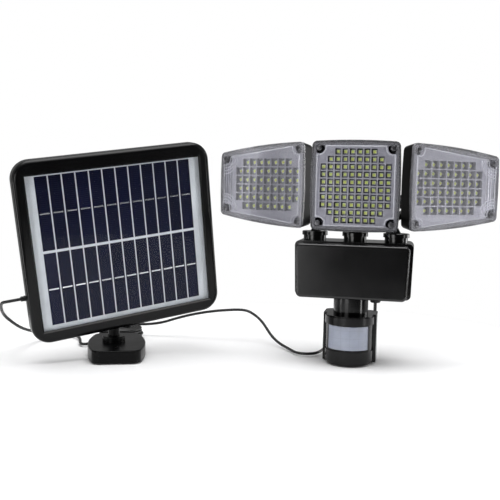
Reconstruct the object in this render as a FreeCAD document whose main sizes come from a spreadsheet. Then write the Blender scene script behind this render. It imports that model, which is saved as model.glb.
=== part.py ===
"""Three-head solar security light: a lamp with a motion sensor, a solar panel on a foot, and their cord.

Frame: millimetres, +Z up, the floor at Z = 0, the lamp's front facing -Y.
Every sub-part is drawn in the frame of what carries it, then placed.
"""
import FreeCAD, Part
import math
import os

import Sketcher
from FreeCAD import Placement, Rotation, Vector

doc = FreeCAD.newDocument("SecurityLight")
sheet = doc.addObject("Spreadsheet::Sheet", "Sizes")

# ---------------------------------------------------------------- driving dimensions, mm and degrees
SIZES = {
    # where the lamp stands, and the post seen from it
    "lamp_x": 83.5, "lamp_y": 25.1, "post_left": 238.3, "post_ahead": 38.3,
    # battery box: front cover and the larger rear housing
    "front_wide_top": 110, "front_wide_low": 106, "front_low": 66.5, "front_high": 119,
    "front_face": 32, "split": 12, "box_back": 36,
    "rear_wide_top": 116, "rear_wide_low": 113, "rear_low": 65.5, "rear_high": 120.5,
    "box_wall": 3, "back_wall": 4, "rim_deep": 3, "box_round": 5, "face_round": 2.5,
    "seal_inset": 1.5, "seal_wide": 1.2, "seal_thick": 0.5,
    "case_boss": 3.5, "rear_boss": 4.6, "boss_side": 47.5, "boss_inset": 7.5, "boss_drop": 11.5,
    "screw_seat": 8, "case_bite": 12, "case_spare": 2,
    "rib_radius": 0.9, "rib_pitch": 4.6, "rib_low": 77, "rib_sunk": 0.36,
    # fasteners
    "loose": 0.3, "screw_radius": 1.5, "screw_hole": 1.6, "head_radius": 2.8, "head_thick": 1.8,
    # contents of the box
    "cell_radius": 9.2, "cell_long": 65, "cell_pitch": 19.6, "cell_y": 14, "cell_high": 93.8,
    "board_wide": 84, "board_tall": 34, "board_thick": 1.6, "board_y": 19, "board_low": 75,
    "standoff": 2.5, "standoff_x": 36, "standoff_in": 5,
    # plate on the wall
    "plate_wide": 84, "plate_tall": 42, "plate_mid": 93, "plate_thick": 3, "plate_hole": 2.25,
    "plate_round": 4, "plate_hole_x": 30, "plate_hole_z": 13, "plate_screw_x": 14, "plate_recess": 4.5,
    "plate_recess_deep": 2.2, "plate_screw_long": 6.5,
    # collars on top, and the arms that turn in them
    "collar_pitch": 40.4, "collar_y": 6, "collar_radius": 11.3, "collar_high": 4.8,
    "edge_soft": 0.8, "stem_radius": 7, "stem_play": 0.05, "catch_radius": 8.6, "catch_high": 3,
    "flange_radius": 12.75, "flange_high": 4, "flange_gap": 0.1,
    "blade_wide": 12, "blade_deep": 8, "blade_y": 5, "blade_bend": 151.2, "elbow_high": 139,
    "elbow_x": 4, "elbow_y": 21, "eye_high": 160,
    "centre_eye_y": 9, "side_eye_x": 30, "side_eye_y": 24,
    "eye_radius": 7, "bolt_radius": 2.5, "bolt_play": 0.06,
    "ear_thick": 3.4, "ear_gap": 0.25, "bolt_head": 4.6, "bolt_head_thick": 2.6, "nut_thick": 3.6,
    # lamp heads
    "left_yaw": 25, "right_yaw": 36, "head_mid": 175, "eye_back": 33, "side_reach": 64,
    "head_wide": 84, "head_tall": 86, "side_wide": 106, "side_inner": 87, "side_outer": 66,
    "edge_arc": 620, "head_round": 5, "lens_deep": 3, "lens_skin": 2, "lens_wall": 1.8,
    "lens_frame": 3.6, "lens_recess": 0.7, "lens_boss": 5, "lens_post": 4, "boss_in": 6.5,
    "ridge_wide": 0.9, "ridge_pitch": 3, "ridge_first": 5.4, "ridge_short": 13,
    "shell_deep": 19, "shell_taper": 7, "shell_wall": 2.2, "shell_cavity": 14.5, "shell_soft": 3,
    "shell_post": 3.6, "shell_post_long": 10.5, "lens_screw_long": 9.5,
    "led_across": 7, "led_up": 7.4, "side_led": 9.2, "side_led_shift": 5.3, "led_rim": 1.5,
    "led_size": 3.5, "led_thick": 0.8, "reflector_y": 4.4, "reflector_thick": 3.6,
    "reflector_in": 3, "light_board_y": 9, "light_board_thick": 1.6, "light_board_in": 8,
    "post_clear": 5.2,
    # motion sensor
    "sensor_x": 2, "sensor_y": 6, "sensor_low": 3, "sensor_high": 48, "sensor_top": 3.6,
    "sensor_front": 23, "sensor_mid": 9, "sensor_half": 26.5, "block_front": 6, "block_back": 22,
    "block_round": 8, "sensor_wall": 2, "brow_radius": 24.3, "brow_low": 39.6, "brow_high": 47,
    "band_radius": 23.8, "band_high": 13.6, "bulge_line": 9.5,
    "window_half": 19.6, "window_low": 15, "window_high": 38.6, "fit": 0.2,
    "fresnel": 22.6, "fresnel_thick": 1, "fresnel_rim": 20.8, "fresnel_rim_in": 20,
    "fresnel_lip": 1.5, "neck_radius": 17.3, "neck_bore": 13, "neck_play": 0.08,
    "neck_flange": 19.6, "neck_flange_high": 3.2, "neck_top": 18.8, "neck_top_low": 69.6,
    "neck_top_high": 2.6, "neck_hole": 17.4, "base_in": 1.6,
    "sense_wide": 30, "sense_y": 13, "sense_low": 13, "sense_high": 39, "can_radius": 4.6,
    "can_deep": 4,
    # mode switch
    "lever_x": 22.7, "lever_y": 4, "lever_radius": 1.6, "lever_low": 52.5, "lever_high": 67.6,
    "lever_pivot": 63.6, "trunnion": 1, "trunnion_half": 4.2, "trunnion_play": 0.06,
    "boot_wide": 6.4, "boot_narrow": 4.2, "boot_low": 61, "boot_bore": 2.7, "lever_hole": 2.8,
    # direct-current socket and plug
    "socket_y": 28.5, "socket_flange": 4.6, "socket_radius": 3.4, "socket_bore": 1.8,
    "socket_low": 62, "socket_high": 77, "plug_radius": 4.6, "plug_low": 51.7, "plug_pin": 1.75,
    "plug_pin_high": 73, "barrel_radius": 3.2, "barrel_long": 15, "barrel_high": 56.7,
    "relief_long": 5, "relief_narrow": 2.2, "plug_bore": 5, "cord_radius": 1.5, "cord_hole": 1.6,
    # solar panel
    "hinge_high": 119.8, "panel_yaw": 40, "panel_lean": 6, "panel_roll": 8.2,
    "panel_wide": 194, "panel_tall": 176, "panel_round": 18, "frame_deep": 12, "cover_thick": 2.5,
    "hinge_back": 16, "window_wide": 172, "window_tall": 149, "window_drop": 1, "lip": 3,
    "lip_bevel": 1.5, "glass_wide": 178, "glass_tall": 155, "glass_thick": 3, "glass_fit": 0.4,
    "frame_soft": 4.5, "cover_soft": 1,
    "solar_wide": 11.6, "solar_tall": 70.5, "solar_pitch": 12.9, "solar_rows": 73.1,
    "solar_thick": 0.3, "backsheet_thick": 0.8, "ribbon_wide": 1.3, "ribbon_long": 9.4,
    "ribbon_thick": 0.15, "junction_wide": 26, "junction_tall": 14, "junction_in": 6, "junction_gap": 0.05,
    "cover_screw_x": 72, "cover_screw_z": 83, "cover_screw_side": 93.2, "cover_screw_long": 9,
    # swivel bracket and foot
    "disc_radius": 13, "disc_thick": 3, "disc_gap": 0.1, "lug_wide": 12, "knuckle_eye": 6.5,
    "swivel_radius": 2, "swivel_play": 0.06, "swivel_head": 4.5, "swivel_head_thick": 2,
    "swivel_long": 9, "post_radius": 5.75, "post_play": 0.07, "fork_base": 19, "fork_thick": 8,
    "fork_ear": 4, "fork_gap": 0.2, "foot_front": 47, "foot_rear": 43, "foot_end": 44,
    "foot_thick": 12, "foot_shift": 3, "foot_yaw": 22, "foot_arc": 148, "foot_round": 9,
    "foot_soft": 1.5, "foot_wall": 3, "foot_boss": 11.5, "foot_boss_high": 18, "foot_skin": 4.5,
    "foot_hole": 2.25, "foot_hole_out": 33, "foot_post": 5.5, "post_head": 4.5, "post_head_recess": 5,
    "post_head_low": 0.4, "post_head_thick": 2, "post_screw_long": 16,
    # strain relief on the back of the panel
    "gland_right": 76, "gland_left": 90, "gland_tip": 101, "gland_drop": 44, "gland_y": 12,
    "gland_tall": 10, "gland_deep": 7, "gland_thick": 3.2, "gland_thin": 2.2, "gland_bore": 9,
    # cord put away in a ring behind the foot
    "coil_left": 261, "coil_back": 37, "coil_outer": 24.5, "coil_inner": 9.5, "coil_high": 12,
}
for row, (alias, size) in enumerate(SIZES.items(), 1):
    sheet.set(f"A{row}", alias)
    sheet.set(f"B{row}", str(size))
    sheet.setAlias(f"B{row}", alias)
doc.recompute()


def cells(expression):
    """Spell S.alias out as a reference to the sheet."""
    return expression.replace("S.", "Sizes.")


def number(expression):
    """The value of an expression in the sheet's aliases, such as S.box_wall * 2."""
    return float(sheet.evalExpression(cells(expression)))


def bind(thing, prop, expression):
    thing.setExpression(prop, cells(expression))


def spot(x="0", y="0", z="0", turn=None):
    """A placement from three expressions."""
    return Placement(Vector(number(x), number(y), number(z)), turn or Rotation())


# ---------------------------------------------------------------- building blocks
sub_parts = []


def keep(thing, label, place):
    """Make an object a sub-part: its label names its file."""
    thing.Label = label
    thing.Placement = place
    sub_parts.append(thing)
    return thing


def body(name):
    return doc.addObject("PartDesign::Body", name + "_body")


def sketch(part, plane, lift="0"):
    """A sketch on one of the body's own planes, lifted along its normal: +Z, -Y (for XZ) or +X."""
    made = part.newObject("Sketcher::SketchObject", part.Name + "_sketch")
    role = [f for f in part.Origin.OriginFeatures if f.Role == plane + "_Plane"][0]
    made.AttachmentSupport = [(role, "")]
    made.MapMode = "FlatFace"
    bind(made, ".AttachmentOffset.Base.z", lift)
    return made


def pin_point(made, shape, end, place):
    """Fix a point of a sketch at a pair of signed expressions, such as ("-S.wide / 2", "+0")."""
    for way, axis, value in (("DistanceX", -2, place[0]), ("DistanceY", -1, place[1])):
        if number(value[1:]) == 0:
            made.addConstraint(Sketcher.Constraint("PointOnObject", shape, end, axis))
            continue
        ends = (-1, 1, shape, end) if value[0] == "+" else (shape, end, -1, 1)
        at = made.addConstraint(Sketcher.Constraint(way, *ends, number(value[1:])))
        bind(made, f"Constraints[{at}]", value[1:])


def signed(value):
    return number(value[1:]) * (1 if value[0] == "+" else -1)


def outline(made, corners, arcs=None):
    """A closed outline through corners, anticlockwise. arcs gives the radius of each side that bulges."""
    points = [Vector(signed(x), signed(y), 0) for x, y in corners]
    first = made.GeometryCount
    for i, start in enumerate(points):
        end = points[(i + 1) % len(points)]
        if not arcs or not arcs[i]:
            made.addGeometry(Part.LineSegment(start, end))
            continue
        half = (end - start) / 2
        inward = Vector(-half.y, half.x, 0).normalize()
        middle = start + half + inward * math.sqrt(number(arcs[i]) ** 2 - half.Length ** 2)
        round_side = Part.Circle(middle, Vector(0, 0, 1), number(arcs[i]))
        angles = [math.atan2(p.y - middle.y, p.x - middle.x) for p in (start, end)]
        made.addGeometry(Part.ArcOfCircle(round_side, *angles))
    for i in range(len(points)):
        following = first + (i + 1) % len(points)
        made.addConstraint(Sketcher.Constraint("Coincident", first + i, 2, following, 1))
        pin_point(made, first + i, 1, corners[i])
        if arcs and arcs[i]:
            at = made.addConstraint(Sketcher.Constraint("Radius", first + i, number(arcs[i])))
            bind(made, f"Constraints[{at}]", arcs[i])


def block(x_low, x_high, y_low, y_high):
    """Corners of a rectangle from four signed expressions."""
    return [(x_low, y_low), (x_high, y_low), (x_high, y_high), (x_low, y_high)]


def middle_block(wide, tall):
    return block(f"-({wide}) / 2", f"+({wide}) / 2", f"-({tall}) / 2", f"+({tall}) / 2")


def circle(made, radius, place=("+0", "+0")):
    middle = Vector(signed(place[0]), signed(place[1]), 0)
    at = made.addGeometry(Part.Circle(middle, Vector(0, 0, 1), number(radius)))
    if middle.Length == 0:
        made.addConstraint(Sketcher.Constraint("Coincident", at, 3, -1, 1))
    else:
        pin_point(made, at, 3, place)
    rule = made.addConstraint(Sketcher.Constraint("Radius", at, number(radius)))
    bind(made, f"Constraints[{rule}]", radius)


def pad(part, made, length, taper=None, backwards=False):
    """Add material from a sketch along its normal."""
    feature = part.newObject("PartDesign::Pad", part.Name + "_pad")
    feature.Profile = made
    feature.Reversed = backwards
    bind(feature, "Length", length)
    if taper:
        bind(feature, "TaperAngle", taper)
    doc.recompute()
    return feature


def pocket(part, made, length, taper=None):
    """Take material away against the sketch's normal."""
    before = part.Shape.Volume
    feature = part.newObject("PartDesign::Pocket", part.Name + "_pocket")
    feature.Profile = made
    bind(feature, "Length", length)
    if taper:
        bind(feature, "TaperAngle", taper)
    doc.recompute()
    if not part.Shape.Volume < before:
        raise RuntimeError(f"{feature.Name} cuts nothing")
    return feature


def pad_outline(part, plane, lift, corners, length, arcs=None, **how):
    made = sketch(part, plane, lift)
    outline(made, corners, arcs)
    return pad(part, made, length, **how)


def pocket_outline(part, plane, lift, corners, length, arcs=None, **how):
    made = sketch(part, plane, lift)
    outline(made, corners, arcs)
    return pocket(part, made, length, **how)


def pad_circles(part, plane, lift, radius, places, length):
    made = sketch(part, plane, lift)
    for place in places:
        circle(made, radius, place)
    return pad(part, made, length)


def pocket_circles(part, plane, lift, radius, places, length):
    made = sketch(part, plane, lift)
    for place in places:
        circle(made, radius, place)
    return pocket(part, made, length)


CENTRE = [("+0", "+0")]


def round_edges(part, size, chosen, kind="Fillet"):
    """Fillet or chamfer the edges of the body's last feature that chosen() picks."""
    base = part.Tip
    names = [f"Edge{i}" for i, edge in enumerate(base.Shape.Edges, 1) if chosen(edge)]
    feature = part.newObject("PartDesign::" + kind, part.Name + "_" + kind.lower())
    feature.Base = (base, names)
    bind(feature, "Radius" if kind == "Fillet" else "Size", size)
    doc.recompute()
    return feature


def limits(edge, axis):
    box = edge.BoundBox
    return ((box.XMin, box.XMax), (box.YMin, box.YMax), (box.ZMin, box.ZMax))[axis]


def near(value, wanted):
    return abs(value - wanted) < 0.02


def spans(edge, axis, expression):
    """Whether an edge is exactly as long as this along one axis: 0, 1 or 2 for X, Y or Z."""
    low, high = limits(edge, axis)
    return near(high - low, number(expression))


def flat_at(edge, axis, expression):
    """Whether a whole edge lies where one coordinate has this value."""
    low, high = limits(edge, axis)
    return near(low, number(expression)) and near(high, number(expression))


def rod(name, radius, length, place):
    """A cylinder along the placement's Z."""
    made = doc.addObject("Part::Cylinder", name)
    bind(made, "Radius", radius)
    bind(made, "Height", length)
    made.Placement = place
    return made


def cone(name, start, end, length, place):
    made = doc.addObject("Part::Cone", name)
    bind(made, "Radius1", start)
    bind(made, "Radius2", end)
    bind(made, "Height", length)
    made.Placement = place
    return made


def brick(name, sizes, low):
    """A box from its three sizes and its lowest corner, all expressions."""
    made = doc.addObject("Part::Box", name)
    for prop, size in zip(("Length", "Width", "Height"), sizes):
        bind(made, prop, size)
    made.Placement = spot(*low)
    return made


def several(kind, name, things):
    made = doc.addObject("Part::" + kind, name)
    if kind == "Compound":
        made.Links = things
    else:
        made.Shapes = things
    return made


def join(name, things):
    return several("MultiFuse", name, things)


def shared(name, things):
    """What all the things have in common."""
    return several("MultiCommon", name, things)


def together(name, things):
    """Separate solids in one node."""
    return several("Compound", name, things)


def cut(name, base, tools):
    made = doc.addObject("Part::Cut", name)
    made.Base = base
    made.Tool = tools[0] if len(tools) == 1 else together(name + "_tools", tools)
    return made


ALONG_X = Rotation(Vector(0, 1, 0), 90)
AGAINST_X = Rotation(Vector(0, 1, 0), -90)
ALONG_Y = Rotation(Vector(1, 0, 0), -90)
AGAINST_Y = Rotation(Vector(1, 0, 0), 90)


def screw(name, place, length, shank="S.screw_radius", head="S.head_radius", thick="S.head_thick"):
    """A cylinder-head screw: its shank runs along the placement's Z from under the head."""
    bolt = rod(name + "_shank", shank, length, place)
    return join(name, [bolt, rod(name + "_head", head, thick, place * spot("0", "0", f"-({thick})"))])


def turn_z(angle):
    return Rotation(Vector(0, 0, 1), number(angle))


# ---------------------------------------------------------------- frames of the carried groups
LAMP = spot("S.lamp_x", "S.lamp_y")
SENSOR = LAMP * spot("-S.sensor_x", "S.sensor_y")
FOOT = LAMP * spot("-S.post_left", "-S.post_ahead", "0", turn_z("S.foot_yaw"))
POST = LAMP * spot("-S.post_left", "-S.post_ahead", "S.hinge_high", turn_z("S.panel_yaw"))
KNUCKLE = POST * Placement(Vector(), Rotation(Vector(1, 0, 0), number("S.panel_lean")))
PANEL = KNUCKLE * Placement(Vector(), Rotation(Vector(0, 1, 0), -number("S.panel_roll")))


# ---------------------------------------------------------------- battery box
def trapezoid(which, less="0"):
    """Corners of the front's or the rear's upright trapezoid, inset by less."""
    low, top = f"(S.{which}_wide_low / 2 - {less})", f"(S.{which}_wide_top / 2 - {less})"
    bottom, high = f"+(S.{which}_low + {less})", f"+(S.{which}_high - {less})"
    return [("-" + low, bottom), ("+" + low, bottom), ("+" + top, high), ("-" + top, high)]


CASE_BOSSES = [(side + "S.boss_side", level) for side in "+-"
               for level in ("+(S.front_low + S.boss_inset)", "+(S.front_high - S.boss_drop)")]


PLATE_HOLES = [(side + "S.plate_hole_x", f"+(S.plate_mid {up} S.plate_hole_z)")
               for side in "+-" for up in "+-"]
RIBS, RIDGES, CELLS = 8, 4, 12
# parts on the control board: left, low, wide, tall and deep, mm
BOARD_PIECES = ((-38, 4, 9, 8, 7), (-24, 19, 12, 10, 5), (-8, 8, 14, 14, 1.6), (12, 20, 6, 6, 9),
                (22, 6, 10, 7, 6), (34, 20, 5, 8, 4))


def front_housing():
    part = body("front_housing")
    pad_outline(part, "XZ", "S.split", trapezoid("front"), "S.front_face - S.split")
    round_edges(part, "S.box_round", lambda e: spans(e, 1, "S.front_face - S.split"))
    round_edges(part, "S.face_round", lambda e: flat_at(e, 1, "-S.front_face"))
    pocket_outline(part, "XZ", "S.front_face - S.box_wall", trapezoid("front", "S.box_wall"),
                   "S.front_face - S.box_wall - S.split")
    pad_circles(part, "XZ", "S.split", "S.case_boss", CASE_BOSSES, "S.front_face - S.split - 1")
    pocket_circles(part, "XZ", "S.split + S.case_bite", "S.screw_hole", CASE_BOSSES, "S.case_bite")
    # grip ribs down both sides
    slope = "(S.front_wide_top - S.front_wide_low) / 2 / (S.front_high - S.front_low)"
    places = []
    for i in range(RIBS):
        level = f"(S.rib_low + {i} * S.rib_pitch)"
        out = f"(S.front_wide_low / 2 - S.rib_sunk + ({level} - S.front_low) * {slope})"
        places += [("-" + out, "+" + level), ("+" + out, "+" + level)]
    pad_circles(part, "XZ", "S.split + 1", "S.rib_radius", places, "S.front_face - S.split - S.box_round")
    return keep(part, "front_housing", LAMP)


def rear_housing():
    part = body("rear_housing")
    deep = "(S.box_back + S.split)"
    pad_outline(part, "XZ", "-S.box_back", trapezoid("rear"), deep)
    round_edges(part, "S.box_round", lambda e: spans(e, 1, deep))
    round_edges(part, "S.face_round", lambda e: flat_at(e, 1, "S.box_back"))
    pocket_outline(part, "XZ", "S.split", trapezoid("front", "S.box_wall"), "S.rim_deep")
    pocket_outline(part, "XZ", "S.split - S.rim_deep", trapezoid("rear", "S.box_wall"),
                   f"{deep} - S.rim_deep - S.back_wall")
    pad_circles(part, "XZ", "1 - S.box_back", "S.rear_boss", CASE_BOSSES, f"{deep} - 1")
    standoffs = [(side + "S.standoff_x", f"+(S.board_low + {up})") for side in "+-"
                 for up in ("S.standoff_in", "S.board_tall - S.standoff_in")]
    pad_circles(part, "XZ", "1 - S.box_back", "S.standoff", standoffs,
                "S.box_back - 1 - S.board_y - S.board_thick")
    pocket_circles(part, "XZ", "S.split", "S.screw_hole", CASE_BOSSES, "S.split + S.screw_seat")
    pocket_circles(part, "XZ", "-S.screw_seat", "S.head_radius + S.loose", CASE_BOSSES,
                   "S.box_back - S.screw_seat")
    # groove for the seal
    groove = sketch(part, "XZ", "S.split")
    outline(groove, trapezoid("front", "S.seal_inset"))
    outline(groove, trapezoid("front", "(S.seal_inset + S.seal_wide)"))
    pocket(part, groove, "S.seal_thick")
    # plate screws and the room for the heads of the wall screws
    pocket_circles(part, "XZ", "4 - S.box_back", "S.screw_hole",
                   [(side + "S.plate_screw_x", "+S.plate_mid") for side in "+-"], "S.back_wall")
    pocket_circles(part, "XZ", "S.plate_recess_deep - S.box_back", "S.plate_recess", PLATE_HOLES,
                   "S.plate_recess_deep")
    # top: stems of the arms; underside: neck, switch and socket
    pocket_circles(part, "XY", "S.rear_high", "S.stem_radius + S.loose",
                   [(side, "+S.collar_y") for side in ("-S.collar_pitch", "+0", "+S.collar_pitch")],
                   "S.box_wall + 0.5")
    low = "S.rear_low + S.box_wall + 1.5"
    pocket_circles(part, "XY", low, "S.neck_hole", [("-S.sensor_x", "+S.sensor_y")], "S.box_wall + 1.5")
    pocket_circles(part, "XY", low, "S.lever_hole", [("+S.lever_x", "-S.lever_y")], "S.box_wall + 1.5")
    pocket_circles(part, "XY", low, "S.socket_radius + 0.1", [("-S.sensor_x", "+S.socket_y")],
                   "S.box_wall + 1.5")
    return keep(part, "rear_housing", LAMP)


def box_contents():
    part = body("housing_seal")
    pad_outline(part, "XZ", "S.split - S.seal_thick", trapezoid("front", "S.seal_inset"), "S.seal_thick")
    pocket_outline(part, "XZ", "S.split", trapezoid("front", "(S.seal_inset + S.seal_wide)"), "S.seal_thick")
    keep(part, "housing_seal", LAMP)

    screws = []
    for i, (x, z) in enumerate(CASE_BOSSES):
        place = Placement(Vector(signed(x), number("S.screw_seat"), signed(z)), AGAINST_Y)
        screws.append(screw(f"case_screw_{i}", place, "S.screw_seat + S.split + S.case_bite - S.case_spare"))
    keep(together("housing_screws", screws), "housing_screws", LAMP)

    batteries = []
    for i in (-0.5, 0.5):
        place = spot("-S.cell_long / 2", "-S.cell_y", f"S.cell_high + {i} * S.cell_pitch", ALONG_X)
        can = rod(f"battery_can_{i}", "S.cell_radius", "S.cell_long", place)
        stub = rod(f"battery_end_{i}", "S.cell_radius / 3", "1", place * spot("0", "0", "S.cell_long"))
        batteries.append(join(f"battery_{i}", [can, stub]))
    keep(together("battery_cells", batteries), "battery_cells", LAMP)

    pieces = [brick("board_plate", ("S.board_wide", "S.board_thick", "S.board_tall"),
                    ("-S.board_wide / 2", "S.board_y", "S.board_low"))]
    for i, (x, z, wide, tall, deep) in enumerate(BOARD_PIECES):
        pieces.append(brick(f"board_piece_{i}", (str(wide), str(deep), str(tall)),
                            (str(x), f"S.board_y - {deep}", f"S.board_low + {z}")))
    keep(together("control_board", pieces), "control_board", LAMP)

    part = body("wall_plate")
    corners = block("-S.plate_wide / 2", "+S.plate_wide / 2",
                    "+(S.plate_mid - S.plate_tall / 2)", "+(S.plate_mid + S.plate_tall / 2)")
    pad_outline(part, "XZ", "-S.box_back - S.plate_thick", corners, "S.plate_thick")
    round_edges(part, "S.plate_round", lambda e: spans(e, 1, "S.plate_thick"))
    pocket_circles(part, "XZ", "-S.box_back", "S.plate_hole", PLATE_HOLES, "S.plate_thick")
    pocket_circles(part, "XZ", "-S.box_back", "S.screw_hole",
                   [(side + "S.plate_screw_x", "+S.plate_mid") for side in "+-"], "S.plate_thick")
    keep(part, "wall_plate", LAMP)

    screws = []
    for i, x in enumerate(("S.plate_screw_x", "-S.plate_screw_x")):
        place = spot(x, "S.box_back - S.back_wall", "S.plate_mid", ALONG_Y)
        screws.append(screw(f"plate_screw_{i}", place, "S.plate_screw_long"))
    keep(together("wall_plate_screws", screws), "wall_plate_screws", LAMP)


def lamp_fittings():
    rings = []
    for i in (-1, 0, 1):
        place = spot(f"{i} * S.collar_pitch", "S.collar_y", "S.rear_high")
        ring = rod(f"collar_ring_{i}", "S.collar_radius", "S.collar_high", place)
        hole = rod(f"collar_hole_{i}", "S.stem_radius + S.stem_play", "S.collar_high", place)
        rings.append(cut(f"collar_{i}", ring, [hole]))
    keep(together("head_collars", rings), "head_collars", LAMP)

    # neck of the sensor: a tube with a flange at each end
    part = body("sensor_neck")
    top = "S.neck_top_low + S.neck_top_high"
    low = "(S.sensor_high - S.sensor_top - S.neck_flange_high - 0.2)"
    pad_circles(part, "XY", low, "S.neck_radius", CENTRE, f"{top} - {low}")
    pad_circles(part, "XY", low, "S.neck_flange", CENTRE, "S.neck_flange_high")
    pad_circles(part, "XY", "S.neck_top_low", "S.neck_top", CENTRE, "S.neck_top_high")
    pocket_circles(part, "XY", top, "S.neck_bore", CENTRE, f"{top} - {low}")
    keep(part, "sensor_neck", SENSOR)

    # switch boot with the cross hole that carries the lever
    place = spot("S.lever_x", "-S.lever_y", "S.boot_low")
    boot = cone("boot_cone", "S.boot_narrow", "S.boot_wide", "S.rear_low - S.boot_low", place)
    hole = rod("boot_hole", "S.boot_bore", "S.rear_low - S.boot_low", place)
    across = spot("S.lever_x", "-S.lever_y - S.trunnion_half - 0.2", "S.lever_pivot", ALONG_Y)
    cross = rod("boot_cross", "S.trunnion + S.trunnion_play", "2 * S.trunnion_half + 0.4", across)
    keep(cut("switch_boot", boot, [hole, cross]), "switch_boot", LAMP)

    place = spot("S.lever_x", "-S.lever_y", "S.lever_low")
    stick = rod("lever_stick", "S.lever_radius", "S.lever_high - S.lever_low", place)
    across = spot("S.lever_x", "-S.lever_y - S.trunnion_half", "S.lever_pivot", ALONG_Y)
    pivot = rod("lever_pivot_pin", "S.trunnion", "2 * S.trunnion_half", across)
    keep(join("mode_lever", [stick, pivot]), "mode_lever", LAMP)

    place = spot("-S.sensor_x", "S.socket_y", "S.socket_low")
    flange = rod("socket_flange_disc", "S.socket_flange", "S.rear_low - S.socket_low", place)
    barrel = rod("socket_barrel", "S.socket_radius", "S.socket_high - S.socket_low", place)
    hole = rod("socket_hole", "S.socket_bore", "S.socket_high - S.socket_low - 2", place)
    keep(cut("dc_socket", join("socket_whole", [flange, barrel]), [hole]), "dc_socket", LAMP)

    place = spot("-S.sensor_x", "S.socket_y", "S.plug_low")
    grip = rod("plug_grip", "S.plug_radius", "S.socket_low - S.plug_low - 0.1", place)
    pin = rod("plug_sleeve", "S.plug_pin", "S.plug_pin_high - S.plug_low", place)
    place = spot("-S.sensor_x", "S.socket_y", "S.barrel_high", ALONG_Y)
    barrel = rod("plug_barrel", "S.barrel_radius", "S.barrel_long", place)
    relief = cone("plug_relief", "S.barrel_radius", "S.relief_narrow", "S.relief_long",
                  place * spot("0", "0", "S.barrel_long"))
    hole = rod("plug_cord_hole", "S.cord_hole", "S.relief_long + S.plug_bore",
               place * spot("0", "0", "S.barrel_long - S.plug_bore"))
    whole = join("plug_whole", [grip, pin, barrel, relief])
    keep(cut("dc_plug", whole, [hole]), "dc_plug", LAMP)


# ---------------------------------------------------------------- motion sensor
def pad_bulge(part, lift, radius, length):
    half = f"sqrt(({radius})^2 - (S.bulge_line - S.sensor_mid)^2)"
    pad_outline(part, "XY", lift, [("-" + half, "-S.bulge_line"), ("+" + half, "-S.bulge_line")],
                length, [radius, None])


def sensor_outline(part, lift, length, less="0", how=pad_outline):
    """The sensor's plan: a round front and a wider block behind it."""
    block_sides = block(f"-(S.sensor_half - {less})", f"+(S.sensor_half - {less})",
                        f"-(S.block_front - {less})", f"+(S.block_back - {less})")
    how(part, "XY", lift, block_sides, length)


def sensor():
    front = [("+0", "-S.sensor_mid")]
    part = body("sensor_housing")
    tall = "S.sensor_high - S.sensor_low"
    sensor_outline(part, "S.sensor_low", tall)
    round_edges(part, "S.block_round", lambda e: spans(e, 2, tall) and limits(e, 1)[0] > 0)
    pad_circles(part, "XY", "S.sensor_low", "S.sensor_front", front, tall)
    pad_bulge(part, "S.brow_low", "S.brow_radius", "S.brow_high - S.brow_low")
    pad_bulge(part, "S.sensor_low", "S.band_radius", "S.band_high - S.sensor_low")
    roof = "S.sensor_high - S.sensor_top"
    pocket_circles(part, "XY", roof, "S.sensor_front - S.sensor_wall", front, f"{roof} - S.sensor_low")
    sensor_outline(part, roof, f"{roof} - S.sensor_low", "S.sensor_wall", pocket_outline)
    pocket_circles(part, "XY", "S.sensor_high", "S.neck_radius + S.neck_play", CENTRE, "S.sensor_top")
    window = block("-S.window_half", "+S.window_half", "+S.window_low", "+S.window_high")
    pocket_outline(part, "XZ", "S.sensor_mid + S.sensor_front + 3", window, "S.sensor_front - 2")
    keep(part, "sensor_housing", SENSOR)

    part = body("sensor_base_cap")
    pad_circles(part, "XY", "0", "S.sensor_front - S.base_in", front, "S.sensor_low")
    sensor_outline(part, "0", "S.sensor_low")
    round_edges(part, "S.block_round", lambda e: spans(e, 2, "S.sensor_low") and limits(e, 1)[0] > 10)
    keep(part, "sensor_base_cap", SENSOR)

    def shell(name, outer, inner, half, low, high):
        place = spot("0", "-S.sensor_mid", low)
        tube = cut(name + "_tube", rod(name + "_out", outer, f"{high} - ({low})", place),
                   [rod(name + "_in", inner, f"{high} - ({low})", place)])
        ahead = "(S.sensor_front + 2)"
        box = brick(name + "_box", (f"2 * ({half})", f"{ahead} - 4", f"{high} - ({low})"),
                    (f"-({half})", f"-S.sensor_mid - {ahead}", low))
        return shared(name, [tube, box])

    gap = "S.fit"
    pane = shell("lens_pane", "S.fresnel", "S.fresnel - S.fresnel_thick", f"S.window_half - {gap}",
                 f"S.window_low + {gap}", f"S.window_high - {gap}")
    web = shell("lens_web", "S.fresnel", "S.fresnel_rim_in", f"S.window_half - {gap}",
                f"S.window_low + {gap}", f"S.window_high - {gap}")
    rim = shell("lens_rim", "S.fresnel_rim", "S.fresnel_rim_in", "S.window_half + 0.5",
                f"S.window_low - {gap} - 1", f"S.window_high + {gap} + 0.4")
    hollow = shell("lens_hollow", "S.fresnel - S.fresnel_thick", "S.fresnel_rim_in - 1",
                   "S.window_half - S.fresnel_lip - 0.6", "S.window_low + S.fresnel_lip",
                   "S.window_high - S.fresnel_lip")
    whole = join("lens_whole", [pane, web, rim])
    keep(cut("sensor_lens", whole, [hollow]), "sensor_lens", SENSOR)

    plate = brick("sense_plate", ("S.sense_wide", "S.board_thick", "S.sense_high - S.sense_low"),
                  ("-S.sense_wide / 2", "-S.sense_y", "S.sense_low"))
    can = rod("sense_can", "S.can_radius", "S.can_deep",
              spot("0", "-S.sense_y", "(S.window_low + S.window_high) / 2", AGAINST_Y))
    keep(together("sensor_board", [plate, can]), "sensor_board", SENSOR)


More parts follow.
